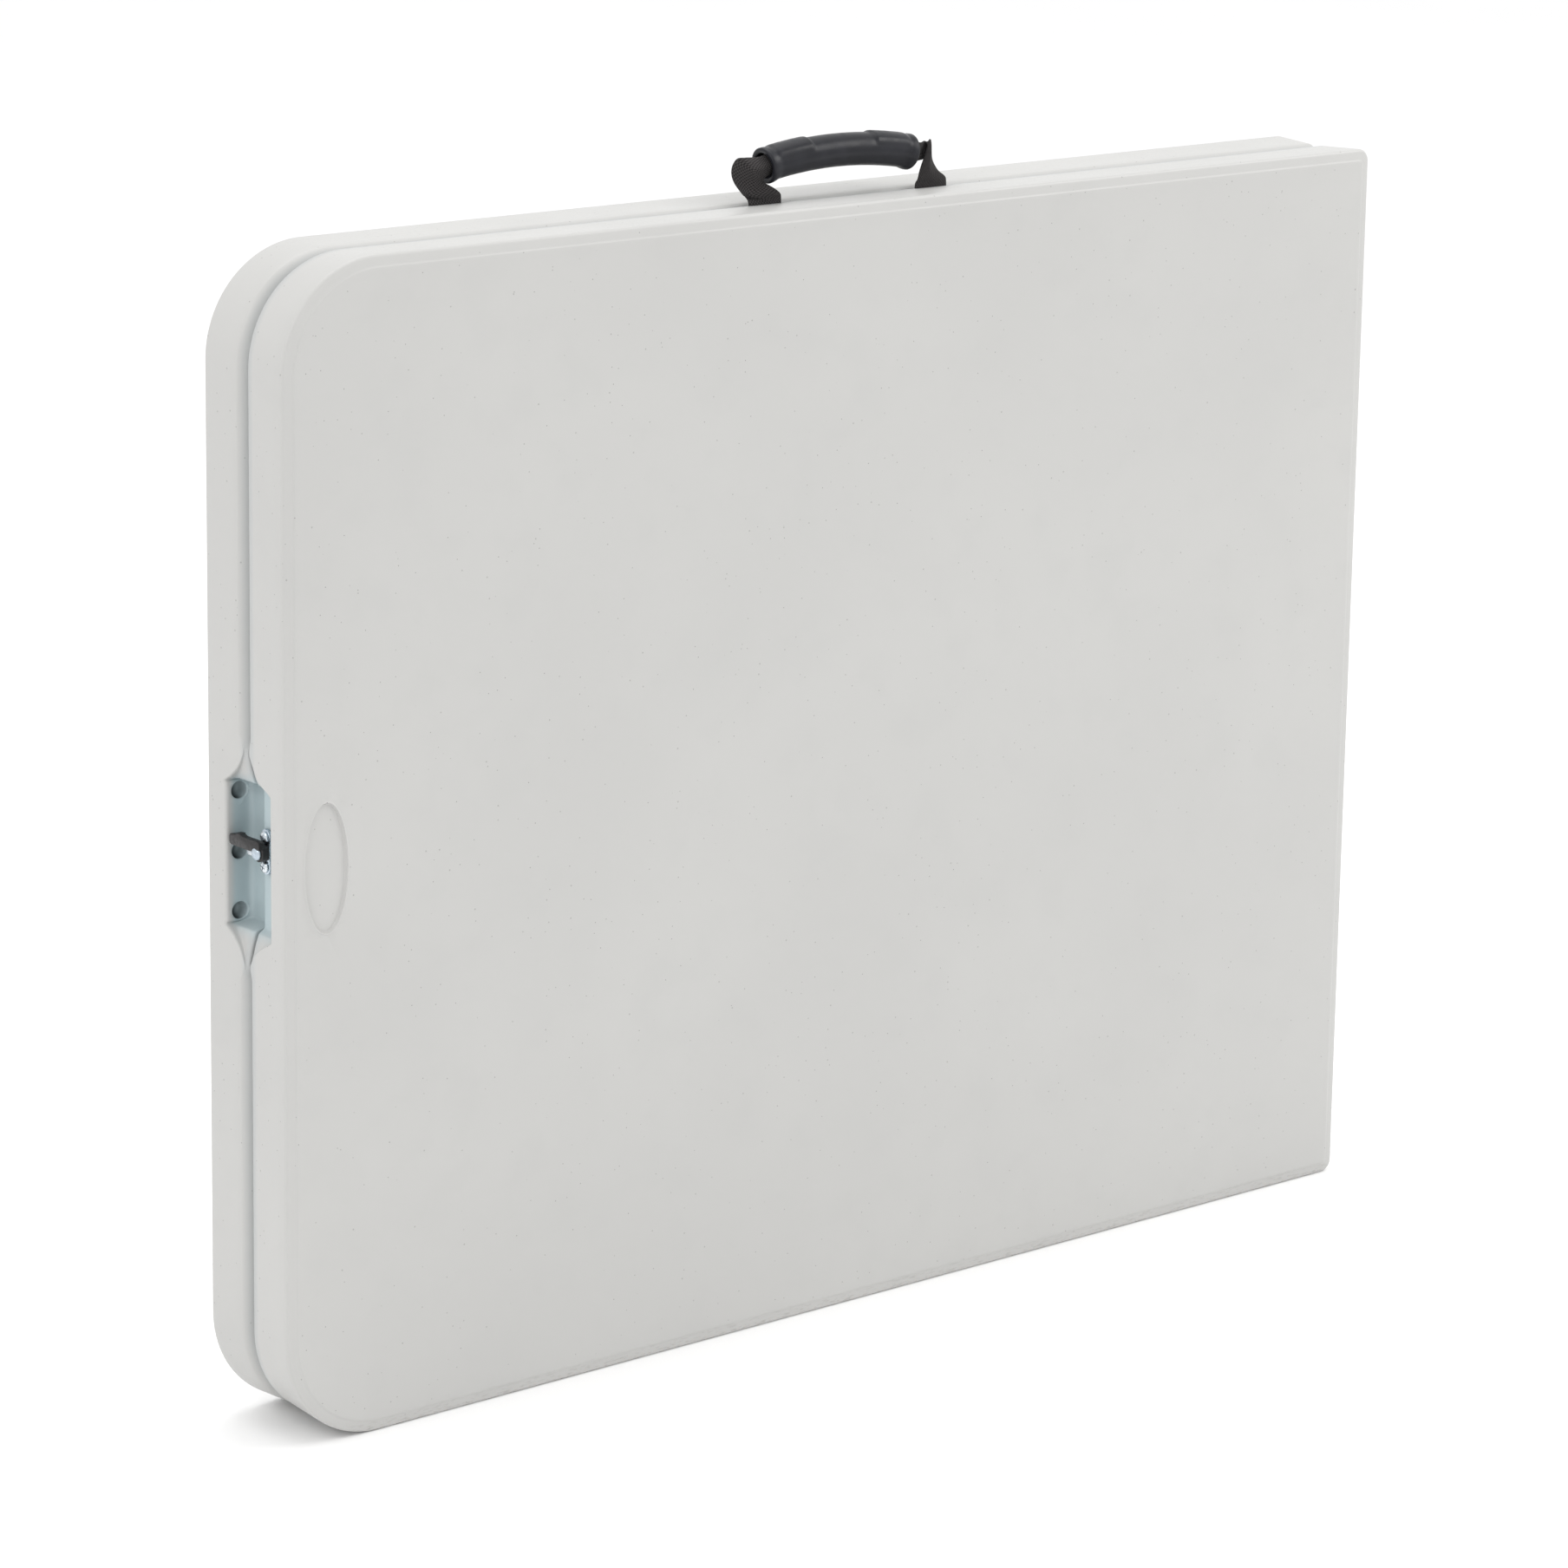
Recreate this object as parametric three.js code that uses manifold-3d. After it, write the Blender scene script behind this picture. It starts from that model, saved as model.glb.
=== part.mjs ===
// A fold-in-half utility table with a blow-moulded top, folded shut and standing on one long edge.
// Millimetres, +Z up. X runs from the rounded latch end to the fold, Y from the front half to the rear half.
// The origin is on the floor, under the middle of the folded table. Y = 0 is the plane where the halves meet.
import * as THREE from 'three';
import { mergeVertices } from 'three/addons/utils/BufferGeometryUtils.js';
import Module from 'manifold-3d';

const wasm = await Module();
wasm.setup();

// ---- driving dimensions ----
const HALF_LENGTH = 914.4; // one half of the top, along X
const WIDTH = 749.3; // across the table, along Z while folded
const HALF_THICK = 43.5; // folding plane to tabletop face
const RIM_GAP = 0.75; // each rim stays this far off the folding plane
const CORNER_RADIUS = 70; // at the latch end
const FOLD_CORNER_RADIUS = 9;
const EDGE_ROUND = 4;
const RIM_WIDTH = 32;
const PANEL_THICK = 14; // double-walled sheet over the tray
const SKIN = 2.6; // plastic wall
const HINGE_EYE = 6; // radius of the eyes around the fold pins
const GAP = 0.3; // between pieces that touch

const EYE_OVERHANG = HINGE_EYE + RIM_GAP;
const LATCH_X = -(HALF_LENGTH + EYE_OVERHANG) / 2;
const FOLD_X = LATCH_X + HALF_LENGTH;
const HINGE_X = FOLD_X + RIM_GAP;
const MID_Z = WIDTH / 2;
const TRAY_Y = HALF_THICK - PANEL_THICK; // tray floor, measured from the folding plane

const RAIL = { size: 20, wall: 1.5, inset: 46.5, end: 24 };
const RAIL_Y = TRAY_Y - GAP - RAIL.size / 2;
const LEAF = { thick: 3, length: 46, width: 16, pinRadius: 3, pinClear: 0.3, head: 5, headThick: 1.8 };
const SLOT = { width: 13.6, depth: 24, behind: 3.4 }; // rim slots that the hinge leaves pass through
const PIVOT_PLATE = { half: 20, outer: 11, inner: 12, corner: 4, thick: 3, stub: 17, clear: 0.35 };

const LEG = {
  pivot: HINGE_X - 820,
  y: 15.7,
  radius: 12.5,
  wall: 1.6,
  outerEnd: 560,
  innerStart: 425,
  innerRadius: 10.5,
  tip: 613,
  capRadius: 13.2,
  capLength: 25,
  axleRadius: 10,
  axleBore: 7.4,
  barAt: 350,
  barRadius: 9.5,
  wallThin: 1.5,
};
const LEG_SPREAD = { rear: 262, front: 296 }; // legs of one half pass between the legs of the other

const BRACE = { rail: 230, leg: 328, half: 8, thick: 3, layer: 3.4, offset: 40, pin: 3, pinClear: 0.3 };
const RIVET = { head: 5, headThick: 1.6 };
const PANEL_LUG = { foot: 16, footThick: 2.5, footReach: 22, neck: 7.4 };
const LEG_LUG_HALF = 7.6;
const BRACE_SPAN = Math.hypot(BRACE.rail, BRACE.leg);
const BRACE_SHORT = (BRACE_SPAN - (BRACE.leg - BRACE.rail)) / 2;

const RECESS = { z: 373.5, half: 45.5, depth: 20, floor: 23, flare: 27, flareDepth: 9 }; // rear half
const SCOOP = { depth: 11.5, floor: 26, low: 303, wideLow: 327, wideHigh: 415, high: 442 }; // front half
const RECESS_HOLE = { radius: 5.6, inset: 11, pitch: 38.5 };
const BADGE = { inset: 29, z: 373.5, halfWidth: 15.3, halfHeight: 41, depth: 1 };

const LATCH = { // a lever turning on a boss between two screws, on the front half
  y: -8,
  z: 379.5,
  plateHalf: 5,
  plateLong: 14.5,
  plateThick: 2,
  screwOffset: 9.5,
  screwBore: 2.1,
  boss: 3,
  eye: 5.5,
  armFront: 1.2,
  armBack: 5.8,
  armEnd: 20.5,
  tabStart: 16,
  tabReach: 11,
};
const RIVET_HEAD = { tip: 0.4, brim: 2.9, radius: 4.3 }; // tip and brim are measured in from the end wall
const KEEPER = { y: 11, z: 375.6, radius: 2.5, head: 3, tip: 9.5 };

const STRAP = {
  left: -57,
  right: 84.5,
  half: 13.5,
  thick: 2.6,
  notchDepth: 2.3,
  notchHeight: 30,
  anchor: 24,
};
const HANDLE = {
  x: 3,
  half: 62,
  rise: 28.5,
  sag: 6,
  radius: 10.9,
  bore: 8.4,
  collar: 12.3,
  collarLength: 24,
};

// ---- materials ----
const finish = (color, roughness, metalness) => () =>
  new THREE.MeshStandardMaterial({ color, roughness, metalness });
const resin = finish('#d3d2cd', 0.45, 0);
const powderCoat = finish('#8a8d90', 0.5, 0.3);
const zinc = finish('#b9c4cc', 0.3, 1);
const blackPlastic = finish('#2e2c2e', 0.5, 0);
const gripRubber = finish('#3c3c40', 0.45, 0);
const webbing = finish('#3a383a', 0.95, 0);
const darkCap = finish('#3b3d3f', 0.6, 0);

// ---- solids ----
function toSolid(geometry) {
  geometry.deleteAttribute('normal');
  geometry.deleteAttribute('uv');
  const merged = mergeVertices(geometry, 1e-4);
  const vertProperties = new Float32Array(merged.attributes.position.array);
  const triVerts = new Uint32Array(merged.index.array);
  return new wasm.Manifold(new wasm.Mesh({ numProp: 3, vertProperties, triVerts }));
}

function toGeometry(solid) {
  const mesh = solid.getMesh();
  const geometry = new THREE.BufferGeometry();
  geometry.setAttribute('position', new THREE.BufferAttribute(new Float32Array(mesh.vertProperties), 3));
  geometry.setIndex(new THREE.BufferAttribute(new Uint32Array(mesh.triVerts), 1));
  geometry.computeVertexNormals();
  return geometry;
}

// A shape drawn in X and Z, thickened along Y from y0 to y1.
function alongY(shape, y0, y1, options = {}) {
  const geometry = new THREE.ExtrudeGeometry(shape, { depth: y1 - y0, bevelEnabled: false, ...options });
  geometry.rotateX(Math.PI / 2);
  geometry.translate(0, y1, 0);
  return geometry;
}

// A shape drawn in Y and Z, thickened along X from x0 to x1.
function alongX(shape, x0, x1, options = {}) {
  const geometry = new THREE.ExtrudeGeometry(shape, { depth: x1 - x0, bevelEnabled: false, ...options });
  const turn = new THREE.Matrix4().makeBasis(
    new THREE.Vector3(0, 1, 0),
    new THREE.Vector3(0, 0, 1),
    new THREE.Vector3(1, 0, 0),
  );
  geometry.applyMatrix4(turn);
  geometry.translate(x0, 0, 0);
  return geometry;
}

// A shape drawn in X and Y, thickened along Z from z0 to z1.
function alongZ(shape, z0, z1, options = {}) {
  const geometry = new THREE.ExtrudeGeometry(shape, { depth: z1 - z0, bevelEnabled: false, ...options });
  geometry.translate(0, 0, z0);
  return geometry;
}

function rectangle(a0, a1, b0, b1, radius = 0) {
  const shape = new THREE.Shape();
  if (radius === 0) {
    shape.moveTo(a0, b0).lineTo(a1, b0).lineTo(a1, b1).lineTo(a0, b1);
    return shape;
  }
  shape.moveTo(a0 + radius, b0);
  shape.absarc(a1 - radius, b0 + radius, radius, -Math.PI / 2, 0, false);
  shape.absarc(a1 - radius, b1 - radius, radius, 0, Math.PI / 2, false);
  shape.absarc(a0 + radius, b1 - radius, radius, Math.PI / 2, Math.PI, false);
  shape.absarc(a0 + radius, b0 + radius, radius, Math.PI, 1.5 * Math.PI, false);
  return shape;
}

function disc(u, v, radius) {
  const shape = new THREE.Shape();
  shape.absarc(u, v, radius, 0, 2 * Math.PI, false);
  return shape;
}

function ring(u, v, radius, bore) {
  const shape = disc(u, v, radius);
  shape.holes.push(disc(u, v, bore));
  return shape;
}

// A solid turned about an axis along X, from (x, radius) pairs that start and end on the axis.
function turnedAlongX(profile, y, z, segments = 20) {
  const points = profile.map(([x, r]) => new THREE.Vector2(r, x));
  const geometry = new THREE.LatheGeometry(points, segments);
  geometry.rotateZ(-Math.PI / 2);
  geometry.translate(0, y, z);
  return geometry;
}

// The same about an axis along Z, from (z, radius) pairs.
function turnedAlongZ(profile, x, y, segments = 20) {
  const points = profile.map(([z, r]) => new THREE.Vector2(r, z));
  const geometry = new THREE.LatheGeometry(points, segments);
  geometry.rotateX(Math.PI / 2);
  geometry.translate(x, y, 0);
  return geometry;
}

// Outline of the tabletop, drawn in by an inset: big corners at the latch end, tight ones at the fold.
function topOutline(inset) {
  const big = Math.max(CORNER_RADIUS - inset, 4);
  const small = Math.max(FOLD_CORNER_RADIUS - inset, 3);
  const x0 = LATCH_X + inset;
  const x1 = FOLD_X - inset;
  const z0 = inset;
  const z1 = WIDTH - inset;
  const shape = new THREE.Shape();
  shape.moveTo(x0 + big, z0);
  shape.absarc(x1 - small, z0 + small, small, -Math.PI / 2, 0, false);
  shape.absarc(x1 - small, z1 - small, small, 0, Math.PI / 2, false);
  shape.absarc(x0 + big, z1 - big, big, Math.PI / 2, Math.PI, false);
  shape.absarc(x0 + big, z0 + big, big, Math.PI, 1.5 * Math.PI, false);
  return shape;
}

// y values are written for the rear half. side = 1 keeps them, side = -1 mirrors them to the front half.
function span(side, a, b) {
  return side > 0 ? [a, b] : [-b, -a];
}

// The finger recess of the latch in the rim at the end. The rear half has a pocket with a shallow flare
// running out above and below it, and the front half a single curved scoop.
function recessCutters(side, grow) {
  if (side < 0) {
    const deep = SCOOP.floor + grow;
    const scoop = new THREE.Shape();
    scoop.moveTo(1, SCOOP.low - grow);
    const low = SCOOP.wideLow - grow;
    const high = SCOOP.wideHigh + grow;
    scoop.bezierCurveTo(-3, SCOOP.low + 10 - grow, -8, low - 6, -deep, low);
    scoop.lineTo(-deep, high);
    scoop.bezierCurveTo(3 - deep, high + 9, -12, high + 5, 1, SCOOP.high + grow);
    return [toSolid(alongX(scoop, LATCH_X - 1, LATCH_X + SCOOP.depth + grow, { curveSegments: 10 }))];
  }
  const deep = RECESS.floor + grow;
  const z0 = RECESS.z - RECESS.half - grow;
  const z1 = RECESS.z + RECESS.half + grow;
  const pocket = alongX(rectangle(-1, deep, z0, z1), LATCH_X - 1, LATCH_X + RECESS.depth + grow);
  const flare = new THREE.Shape();
  flare.moveTo(-1, z0 - RECESS.flare);
  flare.bezierCurveTo(6, z0 - RECESS.flare * 0.6, deep * 0.7, z0 - 4, deep - 1, z0 + 4);
  flare.lineTo(deep - 1, z1 - 4);
  flare.bezierCurveTo(deep * 0.7, z1 + 4, 6, z1 + RECESS.flare * 0.6, -1, z1 + RECESS.flare);
  const ramp = alongX(flare, LATCH_X - 1, LATCH_X + RECESS.flareDepth + grow, { curveSegments: 8 });
  return [toSolid(pocket), toSolid(ramp)];
}

function hingeZ(level) {
  // inner face of a rail, and the direction towards the middle of the table
  const inner = level > 0 ? WIDTH - RAIL.inset - RAIL.size / 2 : RAIL.inset + RAIL.size / 2;
  return { inner, inward: -level };
}

function zSpan(inner, inward, a, b) {
  return inward > 0 ? [inner + a, inner + b] : [inner - b, inner - a];
}

// The slots that let the hinge leaves out through the rim at the fold.
function slotCutters(side, grow) {
  return [1, -1].map((level) => {
    const { inner, inward } = hingeZ(level);
    const [z0, z1] = zSpan(inner, inward, -SLOT.behind - grow, SLOT.width - SLOT.behind + grow);
    const [y0, y1] = span(side, -1, SLOT.depth + grow);
    return toSolid(alongZ(rectangle(FOLD_X - RIM_WIDTH - 1 - grow, FOLD_X + 1, y0, y1), z0, z1));
  });
}

function strapNotch(side, x, grow) {
  const [y0, y1] = span(side, -1, STRAP.notchDepth + grow);
  const half = STRAP.half + 2 + grow;
  const top = WIDTH + 1;
  return toSolid(alongY(rectangle(x - half, x + half, WIDTH - STRAP.notchHeight - grow, top), y0, y1));
}

// One half of the top: a hollow double wall with a rim around a tray on its underside.
function tabletop(side) {
  const [y0, y1] = span(side, RIM_GAP, HALF_THICK);
  const bevel = {
    bevelEnabled: true,
    bevelThickness: EDGE_ROUND,
    bevelSize: EDGE_ROUND,
    bevelOffset: -EDGE_ROUND,
    bevelSegments: 3,
    curveSegments: 8,
  };
  let body = toSolid(alongY(topOutline(0), y0 + EDGE_ROUND, y1 - EDGE_ROUND, bevel));
  const [t0, t1] = span(side, -1, TRAY_Y);
  body = body.subtract(toSolid(alongY(topOutline(RIM_WIDTH), t0, t1, { curveSegments: 6 })));

  const [c0, c1] = span(side, RIM_GAP + SKIN, HALF_THICK - SKIN);
  let hollow = toSolid(alongY(topOutline(SKIN + 1.5), c0, c1, { curveSegments: 6 }));
  const [b0, b1] = span(side, -2, TRAY_Y + SKIN);
  hollow = hollow.subtract(toSolid(alongY(topOutline(RIM_WIDTH - SKIN), b0, b1, { curveSegments: 6 })));

  const cut = (solid, grow) => {
    let result = solid;
    for (const cutter of [...recessCutters(side, grow), ...slotCutters(side, grow)]) {
      result = result.subtract(cutter);
    }
    for (const x of [STRAP.left, STRAP.right]) {
      result = result.subtract(strapNotch(side, x, grow));
    }
    return result;
  };
  body = cut(body, 0).subtract(cut(hollow, SKIN));

  // round holes through the recess floor, open to the hollow wall
  if (side > 0) {
    const { floor } = RECESS;
    for (const step of [-1, 0, 1]) {
      const hole = disc(LATCH_X + RECESS_HOLE.inset, RECESS.z + step * RECESS_HOLE.pitch, RECESS_HOLE.radius);
      body = body.subtract(toSolid(alongY(hole, floor - 1, floor + SKIN + 2, { curveSegments: 10 })));
    }
  } else {
    for (const step of [-1, 1]) {
      const hole = disc(LATCH.y, LATCH.z + step * LATCH.screwOffset, LATCH.screwBore);
      const wall = LATCH_X + SCOOP.depth;
      body = body.subtract(toSolid(alongX(hole, wall - 1, wall + SKIN + 2, { curveSegments: 6 })));
    }
    const oval = new THREE.Shape();
    const { inset, z, halfWidth, halfHeight } = BADGE;
    oval.absellipse(LATCH_X + inset, z, halfWidth, halfHeight, 0, 2 * Math.PI, false, 0);
    const face = -HALF_THICK;
    body = body.subtract(toSolid(alongY(oval, face - 1, face + BADGE.depth, { curveSegments: 16 })));
  }
  return toGeometry(body);
}

// ---- frame ----
function sideRail(side, level) {
  const z = level > 0 ? WIDTH - RAIL.inset : RAIL.inset;
  const y = side * RAIL_Y;
  const half = RAIL.size / 2;
  const section = rectangle(y - half, y + half, z - half, z + half, 2);
  const bore = half - RAIL.wall;
  section.holes.push(rectangle(y - bore, y + bore, z - bore, z + bore));
  return alongX(section, LATCH_X + RIM_WIDTH + RAIL.end, FOLD_X - RIM_WIDTH - 2, { curveSegments: 3 });
}

// A hinge leaf bolted to a rail, with an arm out through the rim slot to an eye on the fold pin.
function hingeLeaf(side, level) {
  const { inner, inward } = hingeZ(level);
  const base = FOLD_X - RIM_WIDTH - 6;
  const y0 = RAIL_Y - LEAF.width / 2;
  const y1 = RAIL_Y + LEAF.width / 2;
  const outline = new THREE.Shape();
  outline.moveTo(base - LEAF.length, side * y0);
  outline.lineTo(base, side * y0);
  outline.lineTo(HINGE_X - 4, side * -4);
  outline.lineTo(HINGE_X + 4, side * 4);
  outline.lineTo(base, side * y1);
  outline.lineTo(base - LEAF.length, side * y1);
  const level0 = side > 0 ? GAP : GAP + LEAF.thick + GAP;
  const [z0, z1] = zSpan(inner, inward, level0, level0 + LEAF.thick);
  let leaf = toSolid(alongZ(outline, z0, z1));
  leaf = leaf.add(toSolid(alongZ(disc(HINGE_X, 0, HINGE_EYE), z0, z1, { curveSegments: 10 })));
  if (side < 0) {
    const [s0, s1] = zSpan(inner, inward, GAP, level0 + LEAF.thick);
    leaf = leaf.add(toSolid(alongZ(rectangle(base - LEAF.length, base - 2, -y1, -y0), s0, s1)));
  }
  const hole = disc(HINGE_X, 0, LEAF.pinRadius + LEAF.pinClear);
  return toGeometry(leaf.subtract(toSolid(alongZ(hole, z0 - 1, z1 + 1, { curveSegments: 8 }))));
}

function hingePin(level) {
  const { inner, inward } = hingeZ(level);
  const [z0, z1] = zSpan(inner, inward, 0, 2 * LEAF.thick + 3 * GAP);
  const profile = [
    [z0 - LEAF.headThick, 0],
    [z0 - LEAF.headThick, LEAF.head],
    [z0, LEAF.head],
    [z0, LEAF.pinRadius],
    [z1, LEAF.pinRadius],
    [z1, LEAF.head],
    [z1 + LEAF.headThick, LEAF.head],
    [z1 + LEAF.headThick, 0],
  ];
  return turnedAlongZ(profile, HINGE_X, 0, 16);
}

// A plate on the rail with the stub that a leg axle turns on.
function pivotPlate(side, level) {
  const { inner, inward } = hingeZ(level);
  const y = side * LEG.y;
  const { half, outer, inner: inside, corner, thick } = PIVOT_PLATE;
  const plate = rectangle(LEG.pivot - half, LEG.pivot + half, y - outer, y + inside, corner);
  const [p0, p1] = zSpan(inner, inward, GAP, GAP + thick);
  const [s0, s1] = zSpan(inner, inward, GAP + thick / 2, GAP + thick / 2 + PIVOT_PLATE.stub);
  const stub = disc(LEG.pivot, y, LEG.axleBore - PIVOT_PLATE.clear);
  const plateSolid = toSolid(alongZ(plate, p0, p1, { curveSegments: 4 }));
  return toGeometry(plateSolid.add(toSolid(alongZ(stub, s0, s1, { curveSegments: 10 }))));
}

function legAxle(side) {
  const { inner } = hingeZ(-1);
  const reach = inner + GAP + PIVOT_PLATE.thick + GAP;
  const section = ring(LEG.pivot, side * LEG.y, LEG.axleRadius, LEG.axleBore);
  return alongZ(section, reach, WIDTH - reach, { curveSegments: 10 });
}

function legZ(side, level) {
  return MID_Z + level * (side > 0 ? LEG_SPREAD.rear : LEG_SPREAD.front);
}

function tubeAlongX(side, level, radius, bore, from, to) {
  const section = ring(side * LEG.y, legZ(side, level), radius, bore);
  return alongX(section, LEG.pivot + from, LEG.pivot + to, { curveSegments: 10 });
}

function legTube(side, level) {
  const start = LEG.axleRadius + GAP;
  return tubeAlongX(side, level, LEG.radius, LEG.radius - LEG.wall, start, LEG.outerEnd);
}

function legExtension(side, level) {
  const end = LEG.tip - 3 - GAP;
  return tubeAlongX(side, level, LEG.innerRadius, LEG.innerRadius - LEG.wallThin, LEG.innerStart, end);
}

function footCap(side, level) {
  const tip = LEG.pivot + LEG.tip;
  const mouth = tip - LEG.capLength;
  const bore = LEG.innerRadius + GAP;
  const profile = [
    [tip - 3, 0],
    [tip - 3, bore],
    [mouth, bore],
    [mouth, LEG.capRadius - 1],
    [mouth + 4, LEG.capRadius],
    [tip - 3, LEG.capRadius],
    [tip, LEG.capRadius - 3],
    [tip, 0],
  ];
  return turnedAlongX(profile, side * LEG.y, legZ(side, level), 20);
}

function legCrossbar(side) {
  const reach = (side > 0 ? LEG_SPREAD.rear : LEG_SPREAD.front) - LEG.radius - GAP;
  const section = ring(LEG.pivot + LEG.barAt, side * LEG.y, LEG.barRadius, LEG.barRadius - LEG.wallThin);
  return alongZ(section, MID_Z - reach, MID_Z + reach, { curveSegments: 8 });
}

// ---- folding brace, in thin layers side by side: leg lug, long link, short link, panel lug ----
function layer(side, index) {
  const start = MID_Z + side * BRACE.offset;
  const a = index * BRACE.layer;
  return side > 0 ? [start + a, start + a + BRACE.thick] : [start - a - BRACE.thick, start - a];
}

function link(x0, x1, side, index) {
  const y = side * LEG.y;
  const bar = new THREE.Shape();
  bar.absarc(x0, y, BRACE.half, Math.PI / 2, 1.5 * Math.PI, false);
  bar.absarc(x1, y, BRACE.half, -Math.PI / 2, Math.PI / 2, false);
  return toSolid(alongZ(bar, ...layer(side, index), { curveSegments: 8 }));
}

function pinHole(x, side) {
  const z = MID_Z + side * BRACE.offset;
  const hole = disc(x, side * LEG.y, BRACE.pin + BRACE.pinClear);
  return toSolid(alongZ(hole, z - BRACE.offset, z + BRACE.offset, { curveSegments: 6 }));
}

function rivetHead(x, side, from, to) {
  const a = MID_Z + side * (BRACE.offset + from);
  const b = MID_Z + side * (BRACE.offset + to);
  const head = disc(x, side * LEG.y, RIVET.head);
  return toSolid(alongZ(head, Math.min(a, b), Math.max(a, b), { curveSegments: 7 }));
}

const PANEL_PIN_X = LEG.pivot + BRACE.rail;
const LEG_PIN_X = LEG.pivot + BRACE.leg;
const ELBOW_X = PANEL_PIN_X - BRACE_SHORT;

function shortLink(side) {
  const outer = BRACE.layer + BRACE.thick;
  const head = rivetHead(ELBOW_X, side, outer - 0.5, outer + RIVET.headThick);
  return toGeometry(link(ELBOW_X, PANEL_PIN_X, side, 1).subtract(pinHole(PANEL_PIN_X, side)).add(head));
}

function longLink(side) {
  const head = rivetHead(ELBOW_X, side, -RIVET.headThick, 0.5);
  return toGeometry(link(ELBOW_X, LEG_PIN_X, side, 0).subtract(pinHole(LEG_PIN_X, side)).add(head));
}

function panelLug(side) {
  const { foot, footThick, footReach, neck } = PANEL_LUG;
  const [z0, z1] = layer(side, 2);
  const top = TRAY_Y - GAP;
  const ear = new THREE.Shape();
  ear.moveTo(PANEL_PIN_X - foot, side * top);
  ear.lineTo(PANEL_PIN_X - neck, side * LEG.y);
  ear.lineTo(PANEL_PIN_X + neck, side * LEG.y);
  ear.lineTo(PANEL_PIN_X + foot, side * top);
  const sole = rectangle(PANEL_PIN_X - foot, PANEL_PIN_X + foot, ...span(side, top - footThick, top));
  const [f0, f1] = side > 0 ? [z0, z1 + footReach] : [z0 - footReach, z1];
  const eye = disc(PANEL_PIN_X, side * LEG.y, BRACE.half);
  const solid = toSolid(alongZ(ear, z0, z1)).add(toSolid(alongZ(eye, z0, z1, { curveSegments: 10 })));
  return toGeometry(solid.add(toSolid(alongZ(sole, f0, f1))).subtract(pinHole(PANEL_PIN_X, side)));
}

function legLug(side) {
  const y = side * LEG.y;
  const bar = LEG.pivot + LEG.barAt;
  const ear = new THREE.Shape();
  ear.absarc(LEG_PIN_X, y, LEG_LUG_HALF, Math.PI / 2, 1.5 * Math.PI, false);
  ear.lineTo(bar, y - LEG_LUG_HALF);
  ear.lineTo(bar, y + LEG_LUG_HALF);
  const clear = disc(bar, y, LEG.barRadius + GAP);
  const z = MID_Z + side * BRACE.offset;
  let solid = toSolid(alongZ(ear, ...layer(side, -1), { curveSegments: 8 }));
  solid = solid.subtract(toSolid(alongZ(clear, z - BRACE.offset, z + BRACE.offset, { curveSegments: 12 })));
  return toGeometry(solid.subtract(pinHole(LEG_PIN_X, side)));
}

// A rivet with its head on the lug's side, cut flush where the other link passes over it.
function bracePin(x, side, flush, tip) {
  const away = Math.sign(tip - flush);
  const at = (offset) => MID_Z + side * (BRACE.offset + offset);
  const profile = [
    [at(flush), 0],
    [at(flush), BRACE.pin],
    [at(tip), BRACE.pin],
    [at(tip), RIVET.head],
    [at(tip + away * RIVET.headThick), RIVET.head],
    [at(tip + away * RIVET.headThick), 0],
  ];
  const rising = profile[0][0] < profile[5][0] ? profile : profile.reverse();
  return turnedAlongZ(rising, x, side * LEG.y, 14);
}

// ---- latch in the finger recess ----
const BRACKET_BACK = LATCH_X + SCOOP.depth - GAP;
const BRACKET_FACE = BRACKET_BACK - LATCH.plateThick;

function latchBracket() {
  const { y, z, plateHalf, plateLong } = LATCH;
  const plate = rectangle(y - plateHalf, y + plateHalf, z - plateLong, z + plateLong, plateHalf - 0.2);
  let solid = toSolid(alongX(plate, BRACKET_FACE, BRACKET_BACK, { curveSegments: 4 }));
  for (const step of [-1, 1]) {
    const hole = disc(y, z + step * LATCH.screwOffset, LATCH.screwBore);
    solid = solid.subtract(toSolid(alongX(hole, BRACKET_FACE - 2, BRACKET_BACK + 2, { curveSegments: 6 })));
  }
  const bossEnd = LATCH_X + RIVET_HEAD.brim + GAP;
  const boss = toSolid(alongX(disc(y, z, LATCH.boss), bossEnd, BRACKET_FACE + 1, { curveSegments: 8 }));
  return toGeometry(solid.add(boss));
}

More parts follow.
